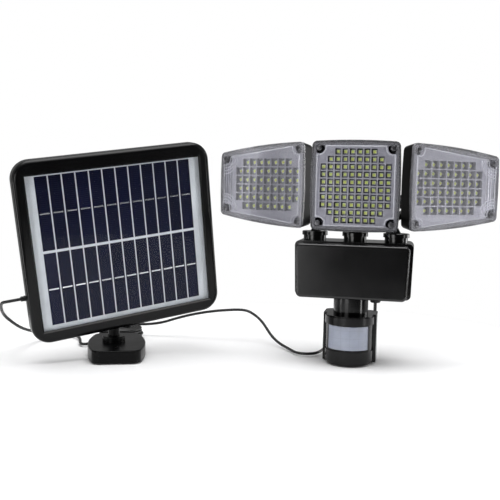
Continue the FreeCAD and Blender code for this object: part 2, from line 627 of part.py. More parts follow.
# ---------------------------------------------------------------- arms and heads
def lug(part, low, thick, web, eye, radius):
    """An ear across X: a web whose corners are in Y and Z, and a round eye."""
    pad_outline(part, "YZ", low, web, thick)
    pad_circles(part, "YZ", low, radius, [eye], thick)


def arm(side, word, place):
    part = body("arm_" + word)
    shelf = "(S.rear_high + S.collar_high + S.flange_gap)"
    catch = "(S.rear_high - S.box_wall - S.flange_gap)"
    low = f"({catch} - S.catch_high)"
    top = f"({shelf} + S.flange_high)"
    pad_circles(part, "XY", low, "S.stem_radius", CENTRE, f"{shelf} - {low}")
    pad_circles(part, "XY", low, "S.catch_radius", CENTRE, "S.catch_high")
    pad_circles(part, "XY", shelf, "S.flange_radius", CENTRE, "S.flange_high")
    round_edges(part, "S.edge_soft", lambda e: flat_at(e, 2, top))
    eye_x = f"{side} * S.side_eye_x"
    eye_y = "S.side_eye_y" if side else "S.centre_eye_y"
    wide, deep = "S.blade_wide / 2", "S.blade_deep / 2"

    def section(lift, x, y):
        """A cross-section of the blade about a point, its corners signed by where they are."""
        ends = []
        for turn in "-+":
            value = number(f"{x} {turn} {wide}")
            ends.append(f"{'-' if value < 0 else '+'}(abs({x} {turn} {wide}))")
        made = sketch(part, "XY", lift)
        outline(made, block(*ends, f"+({y} - {deep})", f"+({y} + {deep})"))
        return made

    sections = [section(top, "0", "S.blade_y")]
    if side:
        sections.append(section("S.elbow_high", f"{side} * S.elbow_x", "S.elbow_y"))
    sections.append(section("S.blade_bend", eye_x, eye_y))
    feature = part.newObject("PartDesign::AdditiveLoft", part.Name + "_loft")
    feature.Profile = sections[0]
    feature.Sections = sections[1:]
    feature.Ruled = True
    doc.recompute()
    pad(part, section("S.blade_bend", eye_x, eye_y), "S.eye_high - S.blade_bend")
    eye = ("+" + eye_y, "+S.eye_high")
    pad_circles(part, "YZ", f"{eye_x} - {wide}", "S.eye_radius", [eye], "S.blade_wide")
    pocket_circles(part, "YZ", f"{eye_x} + {wide} + 1", "S.bolt_radius + S.bolt_play", [eye],
                   "S.blade_wide + 2")
    return keep(part, "arm_" + word, place)


def head_corners(side, less):
    """Corners of a head's face, inset by less. The side heads are taller at their inner edge."""
    if side == 0:
        return middle_block(f"S.head_wide - 2 * ({less})", f"S.head_tall - 2 * ({less})")
    left, right = ("outer", "inner") if side < 0 else ("inner", "outer")
    x = f"(S.side_wide / 2 - {less})"
    left, right = [f"(S.side_{name} / 2 - {less})" for name in (left, right)]
    return [("-" + x, "-" + left), ("+" + x, "-" + right), ("+" + x, "+" + right), ("-" + x, "+" + left)]


def led_places(side):
    """Columns and rows of the light chips as pairs of expressions."""
    rows = (6, 8, 10, 10, 10, 10, 10, 10, 8, 6) if side == 0 else (7, 9, 9, 9, 9, 7)
    across, up = ("S.led_across", "S.led_up") if side == 0 else ("S.side_led", "S.side_led")
    shift = f"{-side} * S.side_led_shift"
    return [(f"{column - (count - 1) / 2} * {across} + {shift}", f"{row - (len(rows) - 1) / 2} * {up}")
            for row, count in enumerate(rows) for column in range(count)]


def head(side, word, place):
    arcs = ["S.edge_arc"] * 4
    bosses = head_corners(side, "S.boss_in")
    eye_x = ("S.side_reach - S.side_eye_x", "0", "S.side_eye_x - S.side_reach")[side + 1]
    eye = ("+S.eye_back", "-(S.head_mid - S.eye_high)")

    # lens: a tray with a sunk face, corner bosses and, on the side heads, ridges at the outer edge
    part = body("lens_" + word)
    pad_outline(part, "XZ", "-S.lens_deep", head_corners(side, "0"), "S.lens_deep", arcs)
    round_edges(part, "S.head_round", lambda e: spans(e, 1, "S.lens_deep"))
    round_edges(part, "S.edge_soft", lambda e: flat_at(e, 1, "0"))
    pocket_outline(part, "XZ", "-S.lens_skin", head_corners(side, "S.lens_wall"),
                   "S.lens_deep - S.lens_skin", arcs)
    pocket_outline(part, "XZ", "0", head_corners(side, "S.lens_frame"), "S.lens_recess", arcs)
    pad_circles(part, "XZ", "-S.lens_recess", "S.lens_boss", bosses, "S.lens_recess")
    pad_circles(part, "XZ", "-S.lens_deep", "S.lens_post", bosses, "S.lens_deep - S.lens_skin + 0.2")
    if side:
        for i in range(RIDGES):
            out = f"(S.side_wide / 2 - S.ridge_first - {i} * S.ridge_pitch)"
            sizes = [f"({out} - S.ridge_wide / 2)", f"({out} + S.ridge_wide / 2)"]
            ends = ["-" + sizes[1], "-" + sizes[0]] if side < 0 else ["+" + sizes[0], "+" + sizes[1]]
            half = "(S.side_outer / 2 - S.ridge_short)"
            pad_outline(part, "XZ", "-S.lens_recess", block(*ends, "-" + half, "+" + half),
                        "S.lens_recess")
    pocket_circles(part, "XZ", "0", "S.head_radius + 0.2", bosses, "S.head_thick")
    pocket_circles(part, "XZ", "-S.head_thick", "S.screw_hole", bosses, "S.lens_deep - S.head_thick")
    keep(part, "lens_" + word, place)

    # shell behind the lens, with two ears for the tilt bolt
    part = body("head_shell_" + word)
    pad_outline(part, "XZ", "-S.lens_deep", head_corners(side, "0"), "S.shell_deep", arcs,
                taper="-S.shell_taper", backwards=True)
    round_edges(part, "S.head_round", lambda e: spans(e, 1, "S.shell_deep"))
    round_edges(part, "S.shell_soft", lambda e: flat_at(e, 1, "S.lens_deep + S.shell_deep"))
    pocket_outline(part, "XZ", "-S.lens_deep", head_corners(side, "S.shell_wall"), "S.shell_cavity",
                   arcs, taper="-S.shell_taper")
    pad_circles(part, "XZ", "-S.lens_deep - S.shell_post_long", "S.shell_post", bosses,
                "S.shell_post_long")
    pocket_circles(part, "XZ", "-S.lens_deep", "S.screw_hole", bosses, "S.shell_post_long - 1")
    start = "+(S.lens_deep + S.shell_cavity + 1)"
    web = [(start, "-(S.head_mid - S.eye_high + S.eye_radius + 3)"),
           ("+S.eye_back", "-(S.head_mid - S.eye_high + S.eye_radius)"),
           ("+S.eye_back", "-(S.head_mid - S.eye_high - S.eye_radius)"),
           (start, "-(S.head_mid - S.eye_high - S.eye_radius - 3)")]
    inner = "(S.blade_wide / 2 + S.ear_gap)"
    for low in (f"{eye_x} + {inner}", f"{eye_x} - {inner} - S.ear_thick"):
        lug(part, low, "S.ear_thick", web, eye, "S.eye_radius")
    pocket_circles(part, "YZ", f"{eye_x} + {inner} + S.ear_thick + 1", "S.bolt_radius + S.bolt_play",
                   [eye], f"2 * ({inner} + S.ear_thick + 1)")
    keep(part, "head_shell_" + word, place)

    # reflector: a plate with a square well for each light chip
    deep = "S.reflector_y + S.reflector_thick"
    plate = body("reflector_plate_" + word)
    pad_outline(plate, "XZ", f"-({deep})", head_corners(side, "S.reflector_in"), "S.reflector_thick")
    pocket_circles(plate, "XZ", "-S.reflector_y", "S.post_clear", bosses, "S.reflector_thick")
    across, up = ("S.led_across", "S.led_up") if side == 0 else ("S.side_led", "S.side_led")
    wells, chips = [], []
    for i, (x, z) in enumerate(led_places(side)):
        sizes = (f"{across} - S.led_rim", "S.reflector_thick + 2", f"{up} - S.led_rim")
        low = (f"{x} - ({across} - S.led_rim) / 2", "S.reflector_y - 1", f"{z} - ({up} - S.led_rim) / 2")
        wells.append(brick(f"well_{word}_{i}", sizes, low))
        low = (f"{x} - S.led_size / 2", "S.light_board_y - S.led_thick", f"{z} - S.led_size / 2")
        chips.append(brick(f"chip_{word}_{i}", ("S.led_size", "S.led_thick", "S.led_size"), low))
    keep(cut("reflector_" + word, plate, wells), "reflector_" + word, place)

    plate = body("led_plate_" + word)
    pad_outline(plate, "XZ", "-(S.light_board_y + S.light_board_thick)",
                head_corners(side, "S.light_board_in"), "S.light_board_thick")
    pocket_circles(plate, "XZ", "-S.light_board_y", "S.post_clear", bosses, "S.light_board_thick")
    keep(together("led_board_" + word, [plate] + chips), "led_board_" + word, place)

    screws = []
    for i, (x, z) in enumerate(bosses):
        seat = Placement(Vector(signed(x), number("S.head_thick"), signed(z)), ALONG_Y)
        screws.append(screw(f"lens_screw_{word}_{i}", seat, "S.lens_screw_long", thick="S.head_thick - 0.1"))
    keep(together("lens_screws_" + word, screws), "lens_screws_" + word, place)

    keep(tilt_bolt("tilt_bolt_" + word, eye_x, eye, f"{inner} + S.ear_thick"), "tilt_bolt_" + word, place)


def tilt_bolt(name, eye_x, eye, half):
    """A bolt along -X through two ears and the eye between them, with its nut."""
    y, z = str(signed(eye[0])), str(signed(eye[1]))
    place = spot(f"{eye_x} + {half}", y, z, AGAINST_X)
    long = f"2 * ({half}) + S.nut_thick + 1"
    bolt = screw(name + "_bolt", place, long, "S.bolt_radius", "S.bolt_head", "S.bolt_head_thick")
    at_nut = place * spot("0", "0", f"2 * ({half})")
    nut = doc.addObject("Part::Prism", name + "_hex")
    nut.Polygon = 6
    bind(nut, "Circumradius", "S.bolt_head")
    bind(nut, "Height", "S.nut_thick")
    nut.Placement = at_nut
    hole = rod(name + "_thread", "S.bolt_radius + 0.02", "S.nut_thick", at_nut)
    return together(name, [bolt, cut(name + "_nut", nut, [hole])])


# ---------------------------------------------------------------- solar panel, drawn from its hinge
def panel():
    back = "(S.hinge_back + S.cover_thick)"
    front = f"({back} + S.frame_deep)"
    screws = [(x + "S.cover_screw_x", z + "S.cover_screw_z") for x in "-+" for z in "-+"]
    screws += [("-S.cover_screw_side", "+0"), ("+S.cover_screw_side", "+0")]

    def opening(wide, tall):
        return block(f"-({wide}) / 2", f"+({wide}) / 2",
                     f"-(({tall}) / 2 + S.window_drop)", f"+(({tall}) / 2 - S.window_drop)")

    part = body("panel_frame")
    pad_outline(part, "XZ", back, middle_block("S.panel_wide", "S.panel_tall"), "S.frame_deep")
    round_edges(part, "S.panel_round", lambda e: spans(e, 1, "S.frame_deep"))
    round_edges(part, "S.frame_soft", lambda e: flat_at(e, 1, f"-{front}"))
    pocket_outline(part, "XZ", front, opening("S.window_wide", "S.window_tall"), "S.frame_deep")
    round_edges(part, "S.lip_bevel", lambda e: flat_at(e, 1, f"-{front}") and e.BoundBox.DiagonalLength > 100
                and abs(e.CenterOfMass.x) < number("S.window_wide / 2 + 1")
                and abs(e.CenterOfMass.z) < number("S.window_tall / 2 + 2"), "Chamfer")
    pocket_outline(part, "XZ", f"{front} - S.lip",
                   opening("S.glass_wide + 2 * S.glass_fit", "S.glass_tall + 2 * S.glass_fit"),
                   "S.frame_deep - S.lip")
    pocket_circles(part, "XZ", f"{back} + S.cover_screw_long - 1", "S.screw_hole", screws,
                   "S.cover_screw_long - 1")
    keep(part, "panel_frame", PANEL)

    part = body("panel_glass")
    pane = f"({front} - S.lip)"
    pad_outline(part, "XZ", f"{pane} - S.glass_thick", opening("S.glass_wide", "S.glass_tall"),
                "S.glass_thick")
    keep(part, "panel_glass", PANEL)

    at_ribbon = f"({pane} - S.glass_thick)"
    ribbons, solar = [], []
    for i in range(CELLS):
        for j in (-0.5, 0.5):
            x, z = f"{i - (CELLS - 1) / 2} * S.solar_pitch", f"{j} * S.solar_rows"
            low = (f"{x} - S.ribbon_long / 2", f"-{at_ribbon}", f"{z} - S.ribbon_wide / 2")
            sizes = ("S.ribbon_long", "S.ribbon_thick", "S.ribbon_wide")
            ribbons.append(brick(f"ribbon_{i}_{j}", sizes, low))
            low = (f"{x} - S.solar_wide / 2", f"-{at_ribbon} + S.ribbon_thick", f"{z} - S.solar_tall / 2")
            solar.append(brick(f"solar_{i}_{j}", ("S.solar_wide", "S.solar_thick", "S.solar_tall"), low))
    keep(together("cell_ribbons", ribbons), "cell_ribbons", PANEL)
    keep(together("solar_cells", solar), "solar_cells", PANEL)

    part = body("backsheet")
    sheet_front = f"({at_ribbon} - S.ribbon_thick - S.solar_thick)"
    pad_outline(part, "XZ", f"{sheet_front} - S.backsheet_thick", opening("S.glass_wide", "S.glass_tall"),
                "S.backsheet_thick")
    keep(part, "backsheet", PANEL)

    thick = f"({sheet_front} - S.backsheet_thick - {back} - S.junction_gap)"
    low = ("S.junction_in - S.gland_left", f"-{back} - {thick}", "-S.gland_drop - S.junction_tall / 2")
    box = brick("junction", ("S.junction_wide", thick, "S.junction_tall"), low)
    keep(box, "junction_block", PANEL * spot(*low))

    part = body("panel_back_cover")
    pad_outline(part, "XZ", "S.hinge_back", middle_block("S.panel_wide", "S.panel_tall"), "S.cover_thick")
    round_edges(part, "S.panel_round", lambda e: spans(e, 1, "S.cover_thick"))
    round_edges(part, "S.cover_soft", lambda e: flat_at(e, 1, "-S.hinge_back"))
    pocket_circles(part, "XZ", back, "S.screw_hole", screws, "S.cover_thick")
    pocket_circles(part, "XZ", back, "S.swivel_radius + S.swivel_play", CENTRE, "S.cover_thick")
    pocket_circles(part, "XZ", back, "S.cord_hole", [("-(S.gland_right + 4)", "-S.gland_drop")],
                   "S.cover_thick")
    keep(part, "panel_back_cover", PANEL)

    fixings = []
    for i, (x, z) in enumerate(screws):
        place = Placement(Vector(signed(x), -number("S.hinge_back"), signed(z)), AGAINST_Y)
        fixings.append(screw(f"cover_screw_{i}", place, "S.cover_screw_long"))
    keep(together("panel_screws", fixings), "panel_screws", PANEL)

    # strain relief: a block on the cover with a sleeve along -X
    base = brick("gland_base", ("S.gland_left - S.gland_right", "S.gland_deep", "S.gland_tall"),
                 ("-S.gland_left", "-S.hinge_back", "-S.gland_drop - S.gland_tall / 2"))
    place = spot("-S.gland_left", "-S.gland_y", "-S.gland_drop", AGAINST_X)
    sleeve = cone("gland_sleeve", "S.gland_thick", "S.gland_thin", "S.gland_tip - S.gland_left", place)
    hole = rod("gland_hole", "S.cord_hole", "S.gland_bore",
               spot("-S.gland_tip + S.gland_bore", "-S.gland_y", "-S.gland_drop", AGAINST_X))
    keep(cut("cord_gland", join("gland_whole", [base, sleeve]), [hole]), "cord_gland", PANEL)


# ---------------------------------------------------------------- swivel, post and foot
def stand():
    part = body("panel_knuckle")
    face = "(S.hinge_back - S.disc_gap)"
    pad_circles(part, "XZ", f"{face} - S.disc_thick", "S.disc_radius", CENTRE, "S.disc_thick")
    web = [(f"-({face} - 1)", "-(S.knuckle_eye + 1.5)"), ("+0", "-S.knuckle_eye"),
           ("+0", "+S.knuckle_eye"), (f"-({face} - 1)", "+(S.knuckle_eye + 1.5)")]
    lug(part, "-S.lug_wide / 2", "S.lug_wide", web, ("+0", "+0"), "S.knuckle_eye")
    pocket_circles(part, "YZ", "S.lug_wide / 2 + 1", "S.bolt_radius + S.bolt_play", CENTRE, "S.lug_wide + 2")
    pocket_circles(part, "XZ", face, "S.swivel_radius + 0.05", CENTRE, "S.swivel_long - S.cover_thick + 0.2")
    keep(part, "panel_knuckle", KNUCKLE)

    seat = spot("0", "-S.hinge_back - S.cover_thick - 0.1", "0", ALONG_Y)
    sizes = ("S.swivel_radius", "S.swivel_head", "S.swivel_head_thick")
    keep(screw("swivel_screw", seat, "S.swivel_long", *sizes), "swivel_screw", KNUCKLE)

    # post: round stem with a fork at its top
    part = body("panel_post")
    foot_end = "(S.hinge_high - S.foot_skin - 0.1)"
    pad_circles(part, "XY", f"-{foot_end}", "S.post_radius", CENTRE, f"{foot_end} - S.fork_base + 1")
    outer = "(S.lug_wide / 2 + S.fork_gap + S.fork_ear)"
    pad_outline(part, "XY", "-S.fork_base", middle_block(f"2 * {outer}", "2 * S.knuckle_eye"), "S.fork_thick")
    round_edges(part, "3", lambda e: flat_at(e, 2, "-S.fork_base") and spans(e, 1, "2 * S.knuckle_eye"),
                "Chamfer")
    web = block("-S.knuckle_eye", "+S.knuckle_eye", "-(S.fork_base - S.fork_thick + 1)", "+0")
    for low in (f"{outer} - S.fork_ear", f"-{outer}"):
        lug(part, low, "S.fork_ear", web, ("+0", "+0"), "S.knuckle_eye")
    pocket_circles(part, "YZ", f"{outer} + 1", "S.bolt_radius + S.bolt_play", CENTRE, f"2 * {outer} + 2")
    pocket_circles(part, "XY", f"1 + S.post_screw_long - {foot_end}", "S.swivel_radius + 0.05", CENTRE,
                   "S.post_screw_long + 1")
    keep(part, "panel_post", POST)
    keep(tilt_bolt("panel_tilt_bolt", "0", ("+0", "+0"), outer), "panel_tilt_bolt", POST)

    head_top = "S.post_head_low + S.post_head_thick"
    seat = spot("0", "0", f"{head_top} - S.hinge_high")
    sizes = ("S.swivel_radius", "S.post_head", "S.post_head_thick")
    keep(screw("post_screw", seat, "S.post_screw_long", *sizes), "post_screw", POST)

    # foot: a bulged plate, hollow from below, with a socket for the post
    part = body("foot")

    def plan(less):
        left, right = [f"{side}(S.foot_end / 2 {side} S.foot_shift - {less})" for side in "-+"]
        return block(left, right, f"-(S.foot_front - {less})", f"+(S.foot_rear - {less})")

    sides = [None, "S.foot_arc", None, "S.foot_arc"]
    pad_outline(part, "XY", "0", plan("0"), "S.foot_thick", sides)
    round_edges(part, "S.foot_round", lambda e: spans(e, 2, "S.foot_thick"))
    round_edges(part, "S.foot_soft", lambda e: flat_at(e, 2, "S.foot_thick"))
    pocket_outline(part, "XY", "S.foot_thick - S.foot_wall", plan("S.foot_wall"),
                   "S.foot_thick - S.foot_wall", sides)
    holes = [("+S.foot_shift", side + "S.foot_hole_out") for side in "+-"]
    pad_circles(part, "XY", "0", "S.foot_boss", CENTRE, "S.foot_boss_high")
    round_edges(part, "1", lambda e: flat_at(e, 2, "S.foot_boss_high"))
    pad_circles(part, "XY", "0", "S.foot_post", holes, "S.foot_thick - 1")
    pocket_circles(part, "XY", "S.foot_boss_high", "S.post_radius + S.post_play", CENTRE,
                   "S.foot_boss_high - S.foot_skin")
    pocket_circles(part, "XY", "S.foot_skin", "S.swivel_radius + S.swivel_play", CENTRE, "S.foot_skin")
    pocket_circles(part, "XY", f"{head_top} + 0.1", "S.post_head_recess", CENTRE, f"{head_top} + 0.1")
    pocket_circles(part, "XY", "S.foot_thick", "S.foot_hole", holes, "S.foot_thick")
    keep(part, "foot", FOOT)


# ---------------------------------------------------------------- cord, routed in the lamp's frame
def in_lamp(place, x, y, z):
    """A point of another frame, given by expressions, in the lamp's frame."""
    return (LAMP.inverse() * place * spot(x, y, z)).Base


GLAND = [in_lamp(PANEL, f"-S.gland_tip {out}", "-S.gland_y", "-S.gland_drop")
         for out in ("+ S.gland_bore", "- 12")]
PLUG_END = in_lamp(LAMP, "-S.sensor_x", "S.socket_y + S.barrel_long - S.plug_bore", "S.barrel_high")
# out of the gland, round the left of the panel to the floor, then a sharp fold to the ring
OUT_ROUTE = GLAND + [Vector(*p) for p in (
    (-325, -108, 57), (-341, -77, 40), (-338, -57, 26), (-339, -38, 18), (-340, -18, 12),
    (-337, 0, 5), (-325, 17, 1.5), (-309, 23, 1.5), (-297, 8, 1.5), (-290, -8, 1.5), (-284.5, -17, 1.5),
    (-278, -16, 1.5), (-278.5, -7.5, 1.5), (-284, 5, 1.5), (-286, 17, 1.5), (-284, 37, 1.5))]
# from the ring over the floor and up behind the sensor to the plug
HOME_ROUTE = [Vector(*p) for p in (
    (-261, 60, 10.5), (-228, 60.5, 12), (-197, 64, 23), (-168, 64, 30), (-141, 69, 33), (-125, 73, 33),
    (-114, 71, 28), (-105, 66, 22), (-98, 60, 15), (-91, 54, 8), (-81, 46, 2.5), (-67, 27, 1.5),
    (-58, 12, 1.5), (-47.4, 9.2, 1.5), (-37.7, 14.4, 1.5), (-32, 30, 2), (-24, 52, 9), (-15, 71, 25),
    (-6, 75, 44), (-2, 61, 56.7))] + [PLUG_END]
CUTS = {"upper": 2, "middle": 4, "lower": 7}


def tube(label, points, first=None, last=None):
    """A round cord: straight runs joined by tangent arcs, cut at the middle of the runs first and last."""
    runs = [b - a for a, b in zip(points, points[1:])]
    start = points[0] if first is None else points[first] + runs[first] * 0.5
    end = points[-1] if last is None else points[last] + runs[last] * 0.5
    edges, radii, here = [], [], start
    for i in range((first or 0) + 1, (len(points) - 2 if last is None else last) + 1):
        come, go = Vector(runs[i - 1]).normalize(), Vector(runs[i]).normalize()
        half = come.getAngle(go) / 2
        if half < 0.005:
            continue
        reach = 0.45 * min(runs[i - 1].Length, runs[i].Length)
        radius = reach / math.tan(half)
        inward = (go - come).normalize()
        top = points[i] + inward * (radius / math.cos(half) - radius)
        enter, leave = points[i] - come * reach, points[i] + go * reach
        edges.append(Part.makeLine(here, enter))
        edges.append(Part.Arc(enter, top, leave).toShape())
        radii.append(round(radius, 1))
        here = leave
    edges.append(Part.makeLine(here, end))
    path = Part.Wire(edges)
    ring = Part.Wire(Part.makeCircle(number("S.cord_radius"), start, edges[0].tangentAt(0)))
    solid = path.makePipeShell([ring], True, False)
    fullness = solid.Volume / (math.pi * number("S.cord_radius") ** 2 * path.Length)
    print(f"{label}: {path.Length:.1f} long, radii {radii}, volume ratio {fullness:.4f}")
    if abs(fullness - 1) > 0.01:
        raise RuntimeError(label + ": the tube's volume does not match its path")
    made = doc.addObject("Part::Feature", label + "_tube")
    made.Shape = solid
    return keep(made, label, LAMP)


def cord():
    tube("cord_lead_upper", OUT_ROUTE, None, CUTS["upper"])
    tube("cord_lead_middle", OUT_ROUTE, CUTS["upper"], CUTS["middle"])
    tube("cord_lead_lower", OUT_ROUTE, CUTS["middle"], CUTS["lower"])
    tube("cord_left", OUT_ROUTE, CUTS["lower"], None)
    tube("cord_right", HOME_ROUTE)
    place = spot("-S.coil_left", "S.coil_back")
    ring = rod("coil_ring", "S.coil_outer", "S.coil_high", place)
    keep(cut("cord_coil", ring, [rod("coil_hole", "S.coil_inner", "S.coil_high", place)]), "cord_coil", LAMP)


front_housing()
rear_housing()
box_contents()
lamp_fittings()
sensor()
for number_of, word in ((-1, "left"), (0, "centre"), (1, "right")):
    yaw = ("-S.left_yaw", "0", "S.right_yaw")[number_of + 1]
    ARM = LAMP * spot(f"{number_of} * S.collar_pitch", "S.collar_y", "0", turn_z(yaw))
    arm(number_of, word, ARM)
    ahead = f"{'S.side_eye_y' if number_of else 'S.centre_eye_y'} - S.eye_back"
    head(number_of, word, ARM * spot(f"{number_of} * S.side_reach", ahead, "S.head_mid"))
panel()
stand()
cord()
doc.recompute()

# ---------------------------------------------------------------- check and write
for thing in doc.Objects:
    if "Invalid" in thing.State or "Error" in thing.State:
        raise RuntimeError(f"{thing.Name} {thing.State}")
os.makedirs("parts", exist_ok=True)
for thing in sub_parts:
    if thing.Shape.isNull() or not thing.Shape.isValid():
        raise RuntimeError(f"{thing.Label} has no valid shape")
    thing.Shape.exportStep(f"parts/{thing.Label}.step")
    print(f"{thing.Label}: {len(thing.Shape.Solids)} solids, {thing.Shape.Volume:.0f} mm3")
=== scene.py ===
"""Looks of the three-head solar security light: materials, light chips, screws, cord and stage."""
import math

import bmesh
import bpy
from bpy.props import FloatProperty, FloatVectorProperty, IntProperty, PointerProperty
from mathutils import Matrix, Vector


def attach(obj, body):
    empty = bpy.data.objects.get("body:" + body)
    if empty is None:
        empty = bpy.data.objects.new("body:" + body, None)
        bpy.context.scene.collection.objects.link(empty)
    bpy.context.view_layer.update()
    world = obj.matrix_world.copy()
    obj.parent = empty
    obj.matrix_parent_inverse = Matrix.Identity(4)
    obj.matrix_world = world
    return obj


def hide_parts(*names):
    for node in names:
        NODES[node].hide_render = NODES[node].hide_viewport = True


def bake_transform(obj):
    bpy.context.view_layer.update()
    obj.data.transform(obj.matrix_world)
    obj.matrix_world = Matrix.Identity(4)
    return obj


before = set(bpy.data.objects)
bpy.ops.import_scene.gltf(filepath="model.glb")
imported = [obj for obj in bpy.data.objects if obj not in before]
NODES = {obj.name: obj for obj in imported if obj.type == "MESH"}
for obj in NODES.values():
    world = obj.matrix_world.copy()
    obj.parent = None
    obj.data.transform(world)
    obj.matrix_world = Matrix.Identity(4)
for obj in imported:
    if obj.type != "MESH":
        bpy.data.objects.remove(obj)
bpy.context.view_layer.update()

bl_info = {
    "name": "Three-head security light",
    "version": (1, 0, 0),
    "blender": (4, 5, 0),
    "location": "View3D > Sidebar > Security light",
    "description": "Dresses a solar security light with its finishes, chips, screws and cord",
    "category": "Object",
}

# ---------------------------------------------------------------- places of the carried groups, metres


def moved(x=0.0, y=0.0, z=0.0):
    """A shift, as a matrix."""
    return Matrix.Translation((x, y, z))


def turned(degrees, axis):
    """A turn round an axis, as a matrix."""
    return Matrix.Rotation(math.radians(degrees), 4, axis)


LAMP = moved(0.0835, 0.0251)
SENSOR = LAMP @ moved(-0.002, 0.006)
POST = LAMP @ moved(-0.2383, -0.0383, 0.1198) @ turned(40, "Z")
PANEL = POST @ turned(6, "X") @ turned(-8.2, "Y")
ARMS = {
    "left": LAMP @ moved(-0.0404, 0.006) @ turned(-25, "Z"),
    "centre": LAMP @ moved(0, 0.006),
    "right": LAMP @ moved(0.0404, 0.006) @ turned(36, "Z"),
}
HEADS = {
    "left": ARMS["left"] @ moved(-0.064, -0.009, 0.175),
    "centre": ARMS["centre"] @ moved(0, -0.024, 0.175),
    "right": ARMS["right"] @ moved(0.064, -0.009, 0.175),
}
SIDES = {"left": -1, "centre": 0, "right": 1}

# ---------------------------------------------------------------- sizes of the heads, metres
CENTRE_WIDE, CENTRE_TALL = 0.042, 0.043  # half sizes of the centre head's face
SIDE_WIDE, SIDE_TALL_OUT, SIDE_TALL_IN = 0.053, 0.033, 0.0435  # a side head's half width and half heights
BOSS_INSET = 0.0065  # a screw boss's middle from the face's edges
BOSS_ROUND = 0.0066  # the bead's arc round a boss
BEAD_INSET = 0.0019  # the bead's lines from the bosses' middles, towards the edges
BEAD_RADIUS, RIDGE_APART = 0.0005, 0.003
SEAT_DEEP, BOARD_DEEP = 0.0018, 0.009  # the lens screws' seats and the chips' board behind the face

# colours of the haze skin: in the heads' lenses it is painted light, lighter in the side heads and darker in
# the centre head, as light falls on them differently; without a head, the milky haze of other clear mouldings
HAZE_AND_PAINTED_LIGHT = {"left": (0.42, 0.42, 0.45), "centre": (0.24, 0.24, 0.26), "right": (0.42, 0.42, 0.45),
         None: (0.85, 0.86, 0.9)}

# ---------------------------------------------------------------- lights: place, width, height, radiance
LIGHTS = {
    "left_box": ((-0.93, -0.45, 0.4), 0.24, 0.7, 1.3),
    "left_strip": ((-0.93, -0.45, -0.1), 0.12, 0.3, 12.0),
    "right_box": ((1.19, -0.21, 0.4), 0.24, 0.7, 1.3),
    "right_strip": ((1.12, -0.21, -0.1), 0.12, 0.3, 12.0),
    "rim_box": ((0.79, 0.55, 0.25), 0.35, 0.6, 5.0),
    "fill_card": ((-0.42, -1.1, 0.1), 0.5, 0.5, 3.6),
    "top_box": ((0.0, -0.1, 1.2), 1.2, 0.9, 4.2),
}
LIGHT_AIM = Vector((-0.02, 0, 0.11))
CAMERA_AT = (0.1423, -0.7226, 0.174)
CAMERA_YAW, CAMERA_PITCH, CAMERA_ROLL = (math.radians(angle) for angle in (12.432, 4.953, 1.2))


# ---------------------------------------------------------------- settings of the panel
class LightFinishes(bpy.types.PropertyGroup):
    """Colours and sizes that can be changed"""

    plastic: FloatVectorProperty(
        name="Plastic", description="Colour of the moulded housings", subtype="COLOR", size=3,
        min=0, max=1, default=(0.0021, 0.0021, 0.0024))
    rubber: FloatVectorProperty(
        name="Rubber", description="Colour of the cord, plug and boot", subtype="COLOR", size=3,
        min=0, max=1, default=(0.004, 0.004, 0.0045))
    cell: FloatVectorProperty(
        name="Solar cell", description="Colour of the silicon strips", subtype="COLOR", size=3,
        min=0, max=1, default=(0.0012, 0.0015, 0.014))
    phosphor: FloatVectorProperty(
        name="Phosphor", description="Colour of the gel over the light chips", subtype="COLOR", size=3,
        min=0, max=1, default=(0.78, 0.82, 0.17))
    window: FloatVectorProperty(
        name="Sensor window", description="Colour of the milky sensor window", subtype="COLOR", size=3,
        min=0, max=1, default=(0.39, 0.42, 0.51))
    chip_size: FloatProperty(
        name="Chip", description="Width of a light chip", unit="LENGTH", default=0.0036, min=0.001)
    chip_rim: FloatProperty(
        name="Chip rim", description="Width of the white rim round the gel", unit="LENGTH",
        default=0.00035, min=0.0001)
    cord_thick: FloatProperty(
        name="Cord", description="Diameter of the cord", unit="LENGTH", default=0.003, min=0.001)
    sleeve_rings: IntProperty(
        name="Sleeve rings", description="Rings on the strain relief", default=4, min=1)
    studio_light: FloatProperty(
        name="Studio light", description="Brightness of all the lights together", default=1, min=0)


# ---------------------------------------------------------------- node and material helpers
def add(tree, kind, settings=None, **inputs):
    """A node with its settings and inputs. An input's underscores stand for spaces."""
    made = tree.nodes.new(kind)
    for name, value in (settings or {}).items():
        setattr(made, name, value)
    for name, value in inputs.items():
        socket = made.inputs[name.replace("_", " ")]
        if isinstance(value, bpy.types.NodeSocket):
            tree.links.new(value, socket)
        else:
            socket.default_value = value
    return made


def maths(tree, operation, *values):
    """One step of arithmetic on numbers or sockets, by a node."""
    made = tree.nodes.new("ShaderNodeMath")
    made.operation = operation
    for socket, value in zip(made.inputs, values):
        if isinstance(value, bpy.types.NodeSocket):
            tree.links.new(value, socket)
        else:
            socket.default_value = value
    return made.outputs[0]


def blended(tree, share, first, second):
    """A mix of two colours."""
    made = tree.nodes.new("ShaderNodeMix")
    made.data_type = "RGBA"
    for index, value in ((0, share), (6, first), (7, second)):
        if isinstance(value, bpy.types.NodeSocket):
            tree.links.new(value, made.inputs[index])
        elif index:
            made.inputs[index].default_value = (*value, 1)
        else:
            made.inputs[index].default_value = value
    return made.outputs[2]


def mixed_shaders(tree, share, first, second):
    """A mix of two shaders."""
    made = add(tree, "ShaderNodeMixShader", Fac=share)
    tree.links.new(first.outputs[0], made.inputs[1])
    tree.links.new(second.outputs[0], made.inputs[2])
    return made


def ranged(tree, value, low, high, new_low, new_high):
    """A value carried from one range to another."""
    return add(tree, "ShaderNodeMapRange", Value=value, From_Min=low, From_Max=high,
               To_Min=new_low, To_Max=new_high).outputs[0]


def noise(tree, place, scale, detail=2.0):
    """Soft random clouds, from 0 to 1."""
    return add(tree, "ShaderNodeTexNoise", Vector=place, Scale=scale, Detail=detail).outputs[0]


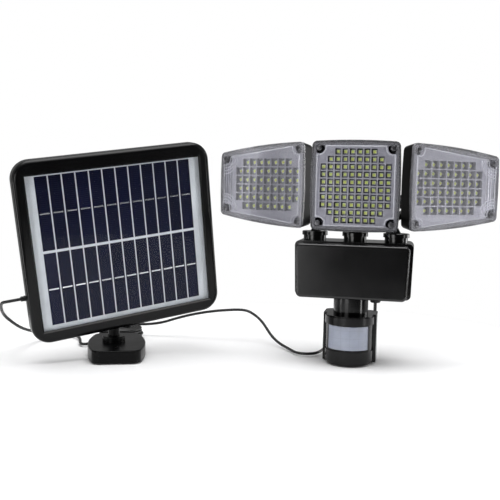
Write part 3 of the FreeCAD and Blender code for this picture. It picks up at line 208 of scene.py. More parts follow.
def new_finish(name):
    """An empty material, its node tree and the object's own coordinates."""
    finish = bpy.data.materials.new(name)
    finish.use_nodes = True
    tree = finish.node_tree
    tree.nodes.clear()
    return finish, tree, add(tree, "ShaderNodeTexCoord").outputs["Object"]


def close(tree, shader):
    """Leads the last shader to the material's surface."""
    add(tree, "ShaderNodeOutputMaterial", Surface=shader.outputs[0])


def local(tree, place, matrix):
    """Coordinates in a carried group's own frame."""
    where, turn, _ = matrix.decompose()
    made = add(tree, "ShaderNodeMapping", {"vector_type": "TEXTURE"}, Vector=place)
    made.inputs["Location"].default_value = where
    made.inputs["Rotation"].default_value = turn.to_euler("XYZ")
    return made.outputs[0]


def lighter(colour, times):
    """A colour multiplied, kept within 1."""
    return [min(1.0, part * times) for part in colour]


def moulded(name, colour, rough, grain=2600.0, depth=0.000012, edge=0.0003, shine=0.5):
    """Moulded plastic: fine spark grain, cloudy gloss, softened, slightly polished edges, and a painted
    highlight that lightens the colour along them.
    """
    finish, tree, place = new_finish(name)
    soft = add(tree, "ShaderNodeBevel", {"samples": 4}, Radius=edge).outputs[0]
    true = add(tree, "ShaderNodeNewGeometry").outputs["Normal"]
    straight = add(tree, "ShaderNodeVectorMath", {"operation": "DOT_PRODUCT"})
    tree.links.new(soft, straight.inputs[0])
    tree.links.new(true, straight.inputs[1])
    edge_polish_and_painted_highlight = ranged(tree, straight.outputs["Value"], 1.0, 0.8, 0.0, 1.0)
    clouds = noise(tree, place, 45.0, 3.0)
    base = blended(tree, clouds, lighter(colour, 0.85), lighter(colour, 1.2))
    # painted highlight: the colour is lightened along the softened edges
    base = blended(tree, maths(tree, "MULTIPLY", edge_polish_and_painted_highlight, 0.5), base, lighter(colour, 2.2))
    cloudy = ranged(tree, clouds, 0.3, 0.7, rough * 0.88, rough * 1.12)
    gloss = maths(tree, "SUBTRACT", cloudy, maths(tree, "MULTIPLY", edge_polish_and_painted_highlight, rough * 0.25))
    bump = add(tree, "ShaderNodeBump", Strength=0.6, Distance=depth,
               Height=noise(tree, place, grain, 4.0), Normal=soft)
    shader = add(tree, "ShaderNodeBsdfPrincipled", Base_Color=base, Roughness=gloss, IOR=1.5,
                 Normal=bump.outputs[0])
    shader.inputs["Specular IOR Level"].default_value = shine
    close(tree, shader)
    return finish


def metal(name, colour, rough, grain, lined=1.0, solid=1.0, edge=0.0):
    """Metal with fine scratches, drawn out along Z by lined, and softened edges; less solid is a skin."""
    finish, tree, place = new_finish(name)
    drawn = add(tree, "ShaderNodeMapping", Vector=place)
    drawn.inputs["Scale"].default_value = (1, 1, 1 / lined)
    fine = noise(tree, drawn.outputs[0], grain, 3.0)
    cloudy = noise(tree, place, 90.0, 2.0)
    bump = add(tree, "ShaderNodeBump", Strength=0.3, Distance=0.000006, Height=fine)
    if edge:
        soft = add(tree, "ShaderNodeBevel", {"samples": 4}, Radius=edge).outputs[0]
        tree.links.new(soft, bump.inputs["Normal"])
    shader = add(tree, "ShaderNodeBsdfPrincipled",
                 Base_Color=blended(tree, cloudy, lighter(colour, 0.9), lighter(colour, 1.06)),
                 Roughness=ranged(tree, fine, 0.3, 0.7, rough * 0.8, rough * 1.25),
                 Metallic=solid, Normal=bump.outputs[0])
    close(tree, shader)
    return finish


def head_rim(tree, place, word, wide):
    """Full strength within a width of a head's edge, none inside it."""
    axes = add(tree, "ShaderNodeSeparateXYZ", Vector=local(tree, place, HEADS[word])).outputs
    across, up = [maths(tree, "ABSOLUTE", axis) for axis in (axes[0], axes[2])]
    reach, half, soft = CENTRE_WIDE, CENTRE_TALL, 0.0003
    if SIDES[word]:
        reach = SIDE_WIDE
        slope = -SIDES[word] * (SIDE_TALL_IN - SIDE_TALL_OUT) / (2 * SIDE_WIDE)
        half = maths(tree, "ADD", maths(tree, "MULTIPLY", axes[0], slope), (SIDE_TALL_IN + SIDE_TALL_OUT) / 2)
    out = maths(tree, "MAXIMUM", maths(tree, "SUBTRACT", across, reach), maths(tree, "SUBTRACT", up, half))
    return ranged(tree, out, -wide - soft, -wide + soft, 0.0, 1.0)


def clear(name, tint, ior, rough, waves=70.0, wave_deep=0.00001, head=None, milk_and_painted_reflection=0.0):
    """Clear moulding: slightly wavy, open to the light of the lamps, and hazy by its milkiness; in a head's
    lens the haze is painted light, strongest at the head's rim.
    """
    finish, tree, place = new_finish(name)
    bump = add(tree, "ShaderNodeBump", Strength=0.5, Distance=wave_deep,
               Height=noise(tree, place, waves, 2.0))
    haze = ranged(tree, noise(tree, place, 140.0, 3.0), 0.35, 0.75, rough * 0.6, rough * 1.6)
    glass = add(tree, "ShaderNodeBsdfPrincipled", Base_Color=(*tint, 1), Roughness=haze, IOR=ior,
                Transmission_Weight=1.0, Normal=bump.outputs[0])
    if head or milk_and_painted_reflection:
        # in a head's lens this grey skin is painted light: the rim band seen through the clear wall, and over
        # the side lenses a painted reflection veil
        skin = add(tree, "ShaderNodeBsdfPrincipled", Base_Color=(*HAZE_AND_PAINTED_LIGHT[head], 1), Roughness=0.3)
        share = milk_and_painted_reflection
        if head:
            # painted light along the head's rim: the skin rises to 0.4 at the edge
            rim_wide, rim_share = 0.0042, 0.4
            share = ranged(tree, head_rim(tree, place, head, rim_wide), 0.0, 1.0, milk_and_painted_reflection, rim_share)
        glass = mixed_shaders(tree, share, glass, skin)
    through = add(tree, "ShaderNodeBsdfTransparent", Color=(*tint, 1))
    ray = add(tree, "ShaderNodeLightPath").outputs["Is Shadow Ray"]
    close(tree, mixed_shaders(tree, ray, glass, through))
    return finish


def board(name, lacquer_and_painted_light, track, pitch=420.0):
    """Lacquered circuit board with tracks under the lacquer."""
    finish, tree, place = new_finish(name)
    cells = add(tree, "ShaderNodeTexVoronoi", {"feature": "DISTANCE_TO_EDGE"}, Vector=place, Scale=pitch)
    lines = ranged(tree, cells.outputs["Distance"], 0.05, 0.09, 1.0, 0.0)
    fine = noise(tree, place, 3000.0, 2.0)
    bump = add(tree, "ShaderNodeBump", Strength=0.4, Distance=0.00003, Height=lines)
    shader = add(tree, "ShaderNodeBsdfPrincipled", Base_Color=blended(tree, lines, lacquer_and_painted_light, track),
                 Roughness=ranged(tree, fine, 0.3, 0.7, 0.28, 0.4), Normal=bump.outputs[0])
    close(tree, shader)
    return finish


def solar_silicon(name, colour):
    """Silicon strips: fine silver fingers, and a slightly different blue for each strip."""
    finish, tree, place = new_finish(name)
    own = local(tree, place, PANEL)
    axes = add(tree, "ShaderNodeSeparateXYZ", Vector=own).outputs
    strip_wide, strip_tall, fingers_apart, finger_share = 0.0129, 0.0731, 0.0019, 0.05
    column = maths(tree, "FLOOR", maths(tree, "DIVIDE", axes[0], strip_wide))
    row = maths(tree, "FLOOR", maths(tree, "DIVIDE", axes[2], strip_tall))
    seed = add(tree, "ShaderNodeCombineXYZ", X=column, Y=row).outputs[0]
    shade = add(tree, "ShaderNodeTexWhiteNoise", Vector=seed).outputs["Value"]
    base = blended(tree, shade, lighter(colour, 0.75), lighter(colour, 1.5))
    clouds = noise(tree, own, 70.0, 4.0)
    base = blended(tree, maths(tree, "MULTIPLY", clouds, 0.5), base, lighter(colour, 2.0))
    step = maths(tree, "FRACT", maths(tree, "DIVIDE", axes[2], fingers_apart))
    finger = maths(tree, "LESS_THAN", step, finger_share)
    base = blended(tree, maths(tree, "MULTIPLY", finger, 0.15), base, (0.35, 0.36, 0.4))
    etched = noise(tree, own, 6000.0, 1.0)
    bump = add(tree, "ShaderNodeBump", Strength=0.5, Distance=0.000006, Height=etched)
    shader = add(tree, "ShaderNodeBsdfPrincipled", Base_Color=base,
                 Roughness=ranged(tree, clouds, 0.3, 0.7, 0.28, 0.4), Normal=bump.outputs[0])
    shader.inputs["Specular IOR Level"].default_value = 0.15
    close(tree, shader)
    return finish


def milky_window(name, colour):
    """Milky window of the sensor, its inside cut into rows of ring segments, with painted shade in the
    grooves between them.
    """
    finish, tree, place = new_finish(name)
    radius, axis_back, foot_high = 0.0226, 0.009, 0.015
    half_wide, half_tall, groove, rings_apart = 0.0045, 0.0039, 0.00015, 0.00075
    axes = add(tree, "ShaderNodeSeparateXYZ", Vector=local(tree, place, SENSOR)).outputs
    ahead = maths(tree, "MULTIPLY", maths(tree, "ADD", axes[1], axis_back), -1.0)
    round_it = maths(tree, "MULTIPLY", maths(tree, "ARCTAN2", axes[0], ahead), radius)
    across = maths(tree, "PINGPONG", maths(tree, "ADD", round_it, 0.2), half_wide)
    up = maths(tree, "PINGPONG", maths(tree, "SUBTRACT", axes[2], foot_high), half_tall)
    squares = [maths(tree, "POWER", length, 2.0) for length in (across, up)]
    away = maths(tree, "SQRT", maths(tree, "ADD", *squares))
    rings = maths(tree, "FRACT", maths(tree, "DIVIDE", away, rings_apart))
    seam = maths(tree, "MAXIMUM", maths(tree, "GREATER_THAN", across, half_wide - groove),
                 maths(tree, "GREATER_THAN", up, half_tall - groove))
    height = maths(tree, "SUBTRACT", maths(tree, "MULTIPLY", rings, 0.5), seam)
    bump = add(tree, "ShaderNodeBump", Strength=0.55, Distance=0.00012, Height=height)
    clouds = noise(tree, place, 160.0, 3.0)
    base = blended(tree, clouds, lighter(colour, 0.9), lighter(colour, 1.1))
    # painted shade: the colour is darkened in the grooves between the ring segments
    base = blended(tree, maths(tree, "MULTIPLY", seam, 0.35), base, lighter(colour, 0.6))
    shader = add(tree, "ShaderNodeBsdfPrincipled", Base_Color=base, IOR=1.5, Subsurface_Weight=0.6,
                 Roughness=ranged(tree, rings, 0.0, 1.0, 0.26, 0.36), Normal=bump.outputs[0])
    shader.inputs["Subsurface Radius"].default_value = (0.004, 0.004, 0.005)
    shader.inputs["Subsurface Scale"].default_value = 0.5
    close(tree, shader)
    return finish


def phosphor_gel(name, colour):
    """Gel over a light chip: mottled yellow green, softly glossy and faintly bright by itself."""
    finish, tree, place = new_finish(name)
    spots = noise(tree, place, 900.0, 2.0)
    base = blended(tree, spots, lighter(colour, 0.82), lighter(colour, 1.15))
    bump = add(tree, "ShaderNodeBump", Strength=0.4, Distance=0.00003, Height=noise(tree, place, 500.0))
    shader = add(tree, "ShaderNodeBsdfPrincipled", Base_Color=base, Roughness=0.3, IOR=1.45,
                 Subsurface_Weight=0.3, Normal=bump.outputs[0])
    shader.inputs["Emission Color"].default_value = (0.85, 0.9, 0.25, 1)
    shader.inputs["Emission Strength"].default_value = 0.12
    close(tree, shader)
    return finish


def cord_jacket(name, colour):
    """Cord jacket: soft gloss in patches, over a fine grain."""
    finish, tree, place = new_finish(name)
    patches = noise(tree, place, 120.0, 3.0)
    fine = noise(tree, place, 4200.0, 3.0)
    bump = add(tree, "ShaderNodeBump", Strength=0.35, Distance=0.00002, Height=fine)
    shader = add(tree, "ShaderNodeBsdfPrincipled",
                 Base_Color=blended(tree, patches, lighter(colour, 0.8), lighter(colour, 1.5)),
                 Roughness=ranged(tree, patches, 0.3, 0.7, 0.36, 0.5), Normal=bump.outputs[0])
    close(tree, shader)
    return finish


def dress(node, finish):
    """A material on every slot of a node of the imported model."""
    thing = NODES[node]
    if not thing.material_slots:
        thing.data.materials.append(finish)
    for slot in thing.material_slots:
        slot.material = finish


def link(name, mesh):
    """A new object in the scene."""
    thing = bpy.data.objects.new(name, mesh)
    bpy.context.scene.collection.objects.link(thing)
    return thing


# ---------------------------------------------------------------- repeats by geometry nodes
def instance_tree(name, sizes):
    """A geometry node group with a mesh of points in, and named numbers for its sizes."""
    tree = bpy.data.node_groups.new(name, "GeometryNodeTree")
    face = tree.interface
    face.new_socket("Geometry", in_out="INPUT", socket_type="NodeSocketGeometry")
    face.new_socket("Geometry", in_out="OUTPUT", socket_type="NodeSocketGeometry")
    for label in sizes:
        made = face.new_socket(label, in_out="INPUT", socket_type="NodeSocketFloat")
        made.subtype = "DISTANCE"
    start = tree.nodes.new("NodeGroupInput")
    end = tree.nodes.new("NodeGroupOutput")
    return tree, start.outputs, end.inputs[0]


def repeat(name, points, facing, tree, sizes, body, spread=None):
    """A mesh made by the tree on points, each turned so that its Z faces the given way."""
    mesh = bpy.data.meshes.new(name)
    mesh.from_pydata([tuple(p) for p in points], [], [])
    ways = mesh.attributes.new("facing", "FLOAT_VECTOR", "POINT")
    ways.data.foreach_set("vector", [part for way in facing for part in way])
    if spread:
        share = mesh.attributes.new("spread", "FLOAT", "POINT")
        share.data.foreach_set("value", spread)
    seed = link(name + "_points", mesh)
    modifier = seed.modifiers.new("repeat", "NODES")
    modifier.node_group = tree
    for item in tree.interface.items_tree:
        if item.in_out == "INPUT" and item.name in sizes:
            modifier[item.identifier] = sizes[item.name]
    seen = seed.evaluated_get(bpy.context.evaluated_depsgraph_get())
    result = bpy.data.meshes.new_from_object(seen)
    seed.modifiers.remove(modifier)
    bpy.data.objects.remove(seed)
    if not result.polygons:
        raise RuntimeError(f"{name}: the repeat made no faces")
    result.name = name
    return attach(link(name, result), body)


def stand_on(tree, start, unit, scale=None):
    """Instances of unit on the incoming points, turned to face, made real."""
    way = add(tree, "GeometryNodeInputNamedAttribute", {"data_type": "FLOAT_VECTOR"}, Name="facing")
    turn = add(tree, "FunctionNodeAlignRotationToVector", {"axis": "Z"}, Vector=way.outputs[0])
    placed = add(tree, "GeometryNodeInstanceOnPoints", Points=start["Geometry"], Instance=unit,
                 Rotation=turn.outputs[0])
    if scale is not None:
        tree.links.new(scale, placed.inputs["Scale"])
    return add(tree, "GeometryNodeRealizeInstances", Geometry=placed.outputs[0]).outputs[0]


def chip_tree(white, gel):
    """One light chip: a white cup whose floor is the gel. Its Z faces the light's way."""
    tree, start, end = instance_tree("light_chip", ("Width", "Depth", "Rim", "Sunk"))
    size = add(tree, "ShaderNodeCombineXYZ", X=start["Width"], Y=start["Width"], Z=start["Depth"]).outputs[0]
    block = add(tree, "GeometryNodeMeshCube", Size=size).outputs[0]
    normal = add(tree, "GeometryNodeInputNormal").outputs[0]
    height = add(tree, "ShaderNodeSeparateXYZ", Vector=normal).outputs[2]
    top = add(tree, "FunctionNodeCompare", {"operation": "GREATER_THAN"}, A=height, B=0.5).outputs[0]
    rim = add(tree, "GeometryNodeExtrudeMesh", Mesh=block, Selection=top, Offset_Scale=0.0)
    inner = maths(tree, "SUBTRACT", start["Width"], maths(tree, "MULTIPLY", start["Rim"], 2.0))
    shrunk = add(tree, "GeometryNodeScaleElements", Geometry=rim.outputs[0], Selection=rim.outputs[1],
                 Scale=maths(tree, "DIVIDE", inner, start["Width"]))
    cup = add(tree, "GeometryNodeExtrudeMesh", Mesh=shrunk.outputs[0], Selection=rim.outputs[1],
              Offset_Scale=maths(tree, "MULTIPLY", start["Sunk"], -1.0))
    body = add(tree, "GeometryNodeSetMaterial", Geometry=cup.outputs[0], Material=white)
    lit = add(tree, "GeometryNodeSetMaterial", Geometry=body.outputs[0], Selection=cup.outputs[1],
              Material=gel)
    tree.links.new(stand_on(tree, start, lit.outputs[0]), end)
    return tree


def ring_tree(name, finish):
    """Round beads, larger or smaller by their spread."""
    tree, start, end = instance_tree(name, ("Radius", "Bead"))
    loop = add(tree, "GeometryNodeCurvePrimitiveCircle", Resolution=24, Radius=start["Radius"])
    bead = add(tree, "GeometryNodeCurvePrimitiveCircle", Resolution=8, Radius=start["Bead"])
    skin = add(tree, "GeometryNodeCurveToMesh", Curve=loop.outputs[0], Profile_Curve=bead.outputs[0])
    smooth = add(tree, "GeometryNodeSetShadeSmooth", Geometry=skin.outputs[0])
    share = add(tree, "GeometryNodeInputNamedAttribute", {"data_type": "FLOAT"}, Name="spread")
    scale = add(tree, "ShaderNodeCombineXYZ", X=share.outputs[0], Y=share.outputs[0], Z=1.0).outputs[0]
    real = stand_on(tree, start, smooth.outputs[0], scale)
    tree.links.new(add(tree, "GeometryNodeSetMaterial", Geometry=real, Material=finish).outputs[0], end)
    return tree


def screw_tree(name, unit, finish):
    """Screws: a unit one metre in radius, scaled to size."""
    tree, start, end = instance_tree(name, ("Head radius",))
    shape = add(tree, "GeometryNodeObjectInfo", {"transform_space": "ORIGINAL"})
    shape.inputs["Object"].default_value = unit
    wide = add(tree, "ShaderNodeCombineXYZ", X=start["Head radius"], Y=start["Head radius"],
               Z=start["Head radius"]).outputs[0]
    real = stand_on(tree, start, shape.outputs["Geometry"], wide)
    tree.links.new(add(tree, "GeometryNodeSetMaterial", Geometry=real, Material=finish).outputs[0], end)
    return tree


def turned_mesh(name, profile, steps=32, smooth=40):
    """A round solid from (radius, height) pairs, from the axis round to the axis."""
    made = bmesh.new()
    rings = []
    for radius, height in profile:
        if radius < 1e-9:
            rings.append([made.verts.new((0, 0, height))])
        else:
            rings.append([made.verts.new((radius * math.cos(a), radius * math.sin(a), height))
                          for a in (2 * math.pi * i / steps for i in range(steps))])
    for low, high in zip(rings, rings[1:]):
        for i in range(steps):
            j = (i + 1) % steps
            corners = [low[i % len(low)], low[j % len(low)], high[j % len(high)], high[i % len(high)]]
            corners = [c for k, c in enumerate(corners) if c not in corners[:k]]
            if len(corners) > 2:
                made.faces.new(corners)
    bmesh.ops.recalc_face_normals(made, faces=made.faces)
    mesh = bpy.data.meshes.new(name)
    made.to_mesh(mesh)
    made.free()
    mesh.shade_smooth()
    mesh.set_sharp_from_angle(angle=math.radians(smooth))
    return mesh


def screw_unit(name, thick, shank, long):
    """A screw whose head radius is one: seat at Z 0, head up, shank down, and a cross recess."""
    head = [(0, thick), (0.55, thick), (0.82, thick * 0.93), (0.95, thick * 0.75), (1, thick * 0.45), (1, 0)]
    body = [(shank, 0), (shank, -long + shank * 0.6), (shank * 0.4, -long), (0, -long)]
    thing = link(name, turned_mesh(name, head + body))
    cutter = bmesh.new()
    slot_long, slot_wide, slot_foot = 1.15, 0.26, 0.45
    for angle in (0, math.pi / 2):
        blade = bmesh.ops.create_cube(cutter, size=1)["verts"]
        for vertex in blade:
            spread = 1.0 if vertex.co.z > 0 else slot_foot
            vertex.co = (vertex.co.x * slot_long * spread, vertex.co.y * slot_wide, vertex.co.z * thick)
        bmesh.ops.rotate(cutter, verts=blade, matrix=Matrix.Rotation(angle, 3, "Z"))
        bmesh.ops.translate(cutter, verts=blade, vec=(0, 0, thick * 0.95))
    knife_mesh = bpy.data.meshes.new(name + "_recess")
    cutter.to_mesh(knife_mesh)
    cutter.free()
    knife = link(name + "_recess", knife_mesh)
    cut = thing.modifiers.new("recess", "BOOLEAN")
    cut.operation = "DIFFERENCE"
    cut.use_self = True
    cut.object = knife
    seen = thing.evaluated_get(bpy.context.evaluated_depsgraph_get())
    whole = bpy.data.meshes.new_from_object(seen)
    thing.modifiers.remove(cut)
    thing.data = whole
    bpy.data.objects.remove(knife)
    thing.hide_render = True
    return thing


def directions(matrix, axis, count):
    """The same way for each of some pieces, given in a group's own frame."""
    way = (matrix.to_3x3() @ Vector(axis)).normalized()
    return [way] * count


def head_corners(side, inset):
    """The four corners of a head's face, inset, seen from its front."""
    if side == 0:
        return [(x * (CENTRE_WIDE - inset), z * (CENTRE_TALL - inset)) for x in (-1, 1) for z in (-1, 1)]
    return [(x * (SIDE_WIDE - inset), z * ((SIDE_TALL_OUT if x == side else SIDE_TALL_IN) - inset))
            for x in (-1, 1) for z in (-1, 1)]


def chip_places(side):
    """Rows and columns of the light chips on a head's face."""
    rows = (6, 8, 10, 10, 10, 10, 10, 10, 8, 6) if side == 0 else (7, 9, 9, 9, 9, 7)
    across, up = (0.007, 0.0074) if side == 0 else (0.0092, 0.0092)
    shift = -side * 0.0053  # the side heads' chips stand towards the middle of the light
    return [((column - (count - 1) / 2) * across + shift, (row - (len(rows) - 1) / 2) * up)
            for row, count in enumerate(rows) for column in range(count)]


# ---------------------------------------------------------------- operators
class Dressing(bpy.types.Operator):
    """Gives every moulded, metal and clear piece its finish"""

    bl_idname = "light.dress_pieces"
    bl_label = "Finishes"

    def execute(self, context):
        look = context.scene.light_finishes
        black = moulded("black_housing", look.plastic, 0.21)
        glossy = moulded("black_gloss", look.plastic, 0.2, grain=1500.0, depth=0.000006)
        low_gloss = moulded("black_low_gloss", look.plastic, 0.24, grain=1500.0, depth=0.000006, shine=0.25)
        matt = moulded("black_matt", lighter(look.plastic, 1.3), 0.42, depth=0.00002, shine=0.3)
        satin = moulded("satin_frame", look.plastic, 0.24, grain=1800.0, depth=0.000008, shine=0.22)
        stand_black = moulded("stand_black", look.plastic, 0.3, grain=1500.0, depth=0.000008, shine=0.12)
        shell_black = moulded("shell_black", look.plastic, 0.4, depth=0.00002, shine=0.08)
        rubber = moulded("soft_rubber", look.rubber, 0.5, grain=3400.0, depth=0.00002, edge=0.0004)
        for node in ("front_housing", "rear_housing"):
            dress(node, black)
        for node in ("head_collars", "arm_left", "arm_centre", "arm_right", "mode_lever"):
            dress(node, glossy)
        dress("sensor_neck", moulded("black_neck", look.plastic, 0.15, grain=1500.0, depth=0.000006,
                                     shine=0.35))
        for node in ("sensor_housing", "sensor_base_cap"):
            dress(node, low_gloss)
        for node in ("panel_post", "foot"):
            dress(node, stand_black)
        for node in ("wall_plate", "panel_back_cover", "junction_block", "panel_knuckle", "cord_gland",
                     "dc_socket"):
            dress(node, matt)
        for word in SIDES:
            dress("head_shell_" + word, shell_black)
        dress("panel_frame", satin)
        for node in ("housing_seal", "switch_boot", "dc_plug"):
            dress(node, rubber)
        dress("battery_cells", moulded("blue_wrap", (0.03, 0.16, 0.4), 0.3, grain=500.0))
        for node in ("control_board", "sensor_board"):
            dress(node, board("green_board_lacquer", (0.01, 0.08, 0.03), (0.05, 0.2, 0.07)))
        steel = metal("bright_steel", (0.6, 0.6, 0.61), 0.25, 3000.0, lined=6.0)
        for node in ("tilt_bolt_left", "tilt_bolt_centre", "tilt_bolt_right", "panel_tilt_bolt",
                     "swivel_screw", "post_screw"):
            dress(node, steel)
        dress("backsheet", moulded("white_backsheet", (0.72, 0.73, 0.76), 0.45, grain=800.0, edge=0.0001))
        dress("cell_ribbons", metal("tinned_ribbon", (0.78, 0.78, 0.8), 0.22, 1800.0))
        dress("solar_cells", solar_silicon("silicon", look.cell))
        dress("panel_glass", clear("panel_pane", (0.93, 0.95, 0.96), 1.14, 0.02, waves=20.0))
        dress("sensor_lens", milky_window("milky_window", look.window))
        for word, side in SIDES.items():
            # painted light and shade: the side heads' reflectors and boards are made lighter and the centre
            # head's darker, as light falls on them differently
            pale, lacquer_and_painted_light = (0.36, 0.2) if side else (0.28, 0.05)
            dress("reflector_" + word, metal("reflector_metal_" + word, (pale, pale, pale * 1.07), 0.36, 60.0,
                                             solid=0.3, edge=0.00035))
            # painted reflection: the side lenses get an even haze veil, the centre lens none
            dress("lens_" + word, clear("clear_lens_" + word, (0.96, 0.96, 0.99), 1.25, 0.03, head=word,
                                         milk_and_painted_reflection=0.1 * abs(side)))
            dress("led_board_" + word, board("chip_board_lacquer_" + word, (lacquer_and_painted_light, lacquer_and_painted_light, lacquer_and_painted_light * 1.1),
                                             (lacquer_and_painted_light * 1.5, lacquer_and_painted_light * 1.5, lacquer_and_painted_light * 1.6), 300.0))
        return {"FINISHED"}


class LightChips(bpy.types.Operator):
    """Sets a white cup with yellow gel on every light chip of the three heads"""

    bl_idname = "light.place_chips"
    bl_label = "Light chips"

    def execute(self, context):
        look = context.scene.light_finishes
        white = moulded("chip_cup", (0.66, 0.67, 0.66), 0.35, edge=0.0001)
        tree = chip_tree(white, phosphor_gel("chip_gel", look.phosphor))
        deep, sunk = 0.00105, 0.00015
        sizes = {"Width": look.chip_size, "Depth": deep, "Rim": look.chip_rim, "Sunk": sunk}
        for word, side in SIDES.items():
            places = chip_places(side)
            points = [HEADS[word] @ Vector((x, BOARD_DEEP - deep / 2, z)) for x, z in places]
            chips = repeat("light_chips_" + word, points, directions(HEADS[word], (0, -1, 0), len(points)),
                           tree, sizes, "head_" + word)
        return {"FINISHED"}


def quarter_round(middle, ways, radius, inset, steps=10):
    """Points round a boss on the side away from its corner, ending level with the frame's lines."""
    start = -math.asin(inset / radius)
    turns = [start + (math.pi / 2 - 2 * start) * i / steps for i in range(steps + 1)]
    return [(middle[0] - ways[0] * radius * math.cos(a), middle[1] - ways[1] * radius * math.sin(a))
            for a in turns]


class LensBeads(bpy.types.Operator):
    """Raises the clear bead that frames each lens and bends in round its bosses"""

    bl_idname = "light.raise_beads"
    bl_label = "Lens beads"

    def execute(self, context):
        finish = clear("clear_bead", (0.97, 0.97, 1.0), 1.5, 0.05, milk_and_painted_reflection=0.3)
        for word, side in SIDES.items():
            bosses = dict(zip(((-1, -1), (-1, 1), (1, -1), (1, 1)), head_corners(side, BOSS_INSET)))
            loop = []
            for ways in ((-1, -1), (1, -1), (1, 1), (-1, 1)):
                arc = quarter_round(bosses[ways], ways, BOSS_ROUND, BEAD_INSET)
                loop += arc[::-1] if ways[0] * ways[1] > 0 else arc
            lines = [loop + loop[:2]]
            for level in (1, 2, 3):
                if side:
                    radius = BOSS_ROUND + level * RIDGE_APART
                    lines += [quarter_round(bosses[side, up], (side, up), radius, BEAD_INSET)
                              for up in (-1, 1)]
            made = bmesh.new()
            for points in lines:
                tube(made, [HEADS[word] @ Vector((x, 0, z)) for x, z in points], BEAD_RADIUS, 10)
            mesh = bpy.data.meshes.new("lens_bead_" + word)
            made.to_mesh(mesh)
            made.free()
            mesh.shade_smooth()
            mesh.materials.append(finish)
            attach(link(mesh.name, mesh), "head_" + word)
        return {"FINISHED"}


class Screws(bpy.types.Operator):
    """Makes the screws of the lenses, the panel and the box, and finishes the wall plate's screws"""

    bl_idname = "light.place_screws"
    bl_label = "Screws"

    def execute(self, context):
        steel = metal("screw_steel", (0.5, 0.5, 0.52), 0.28, 3200.0)
        dark_steel = metal("blackened_steel", (0.16, 0.16, 0.17), 0.3, 3200.0)
        radius, shank = 0.0028, 0.0015
        lens_head, other_head = 0.0017, 0.0018
        lens_long, cover_long, case_long = 0.0095, 0.009, 0.03
        lens_unit = screw_unit("lens_screw_unit", lens_head / radius, shank / radius, lens_long / radius)
        tree = screw_tree("lens_screw", lens_unit, dark_steel)
        for word, side in SIDES.items():
            corners = head_corners(side, BOSS_INSET)
            points = [HEADS[word] @ Vector((x, SEAT_DEEP, z)) for x, z in corners]
            facing = directions(HEADS[word], (0, -1, 0), len(points))
            made = repeat(f"lens_screws_{word}_detailed", points, facing, tree, {"Head radius": radius},
                          "head_" + word)
            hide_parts("lens_screws_" + word)
        cover_unit = screw_unit("cover_screw_unit", other_head / radius, shank / radius, cover_long / radius)
        corner_wide, corner_tall, middle_wide, cover_seat = 0.072, 0.083, 0.0932, -0.016
        spots = [(x * corner_wide, z * corner_tall) for x in (-1, 1) for z in (-1, 1)]
        spots += [(-middle_wide, 0), (middle_wide, 0)]
        points = [PANEL @ Vector((x, cover_seat, z)) for x, z in spots]
        made = repeat("panel_screws_detailed", points, directions(PANEL, (0, 1, 0), len(points)),
                      screw_tree("cover_screw", cover_unit, steel), {"Head radius": radius}, "panel")
        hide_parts("panel_screws")
        case_unit = screw_unit("case_screw_unit", other_head / radius, shank / radius, case_long / radius)
        case_wide, case_low, case_top, case_seat = 0.0475, 0.074, 0.1075, 0.008
        points = [LAMP @ Vector((x, case_seat, z)) for x in (-case_wide, case_wide)
                  for z in (case_low, case_top)]
        made = repeat("housing_screws_detailed", points, directions(LAMP, (0, 1, 0), len(points)),
                      screw_tree("case_screw", case_unit, steel), {"Head radius": radius}, "stand_and_lamp")
        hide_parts("housing_screws")
        for unit in (lens_unit, cover_unit, case_unit):
            bpy.data.objects.remove(unit)
        dress("wall_plate_screws", steel)
        return {"FINISHED"}


def nurbs(name, points, thick=0.0):
    """A smooth curve with these control points."""
    data = bpy.data.curves.new(name, "CURVE")
    data.dimensions = "3D"
    data.resolution_u = 6
    spline = data.splines.new("NURBS")
    spline.points.add(len(points) - 1)
    for control, point in zip(spline.points, points):
        control.co = (*point, 1)
    spline.order_u = 3
    spline.use_endpoint_u = True
    data.bevel_depth = thick / 2
    data.bevel_resolution = 3
    data.use_fill_caps = True
    return link(name, data)


def line_along(points):
    """The points of the smooth curve itself."""
    guide = nurbs("guide", points)
    guide.data.resolution_u = 10
    seen = guide.evaluated_get(bpy.context.evaluated_depsgraph_get())
    mesh = bpy.data.meshes.new_from_object(seen)
    line = [vertex.co.copy() for vertex in mesh.vertices]
    bpy.data.objects.remove(guide)
    bpy.data.meshes.remove(mesh)
    return line


def tube(made, line, radius, steps):
    """A round tube along a line, closed at both ends, added to a mesh being made."""
    ahead = [(line[min(i + 1, len(line) - 1)] - line[max(i - 1, 0)]).normalized() for i in range(len(line))]
    side = ahead[0].orthogonal().normalized()
    rings = []
    for point, way in zip(line, ahead):
        side = (side - way * side.dot(way)).normalized()
        up = way.cross(side)
        rings.append([made.verts.new(point + (side * math.cos(a) + up * math.sin(a)) * radius)
                      for a in (2 * math.pi * k / steps for k in range(steps))])
    for low, high in zip(rings, rings[1:]):
        for k in range(steps):
            made.faces.new((low[k], low[(k + 1) % steps], high[(k + 1) % steps], high[k]))
    made.faces.new(reversed(rings[0]))
    made.faces.new(rings[-1])


def swept(name, line, radius, steps=14):
    """An object that is a round tube along a line."""
    made = bmesh.new()
    tube(made, line, radius, steps)
    bmesh.ops.recalc_face_normals(made, faces=made.faces)
    mesh = bpy.data.meshes.new(name)
    made.to_mesh(mesh)
    made.free()
    mesh.shade_smooth()
    return link(name, mesh)


# the strain relief in the panel's frame, and where the cord starts and leaves it in the scene's, metres
RELIEF_DEEP, RELIEF_LOW = -0.012, -0.044
GLAND_IN = PANEL @ Vector((-0.092, RELIEF_DEEP, RELIEF_LOW))
GLAND_OUT = PANEL @ Vector((-0.113, RELIEF_DEEP, RELIEF_LOW))

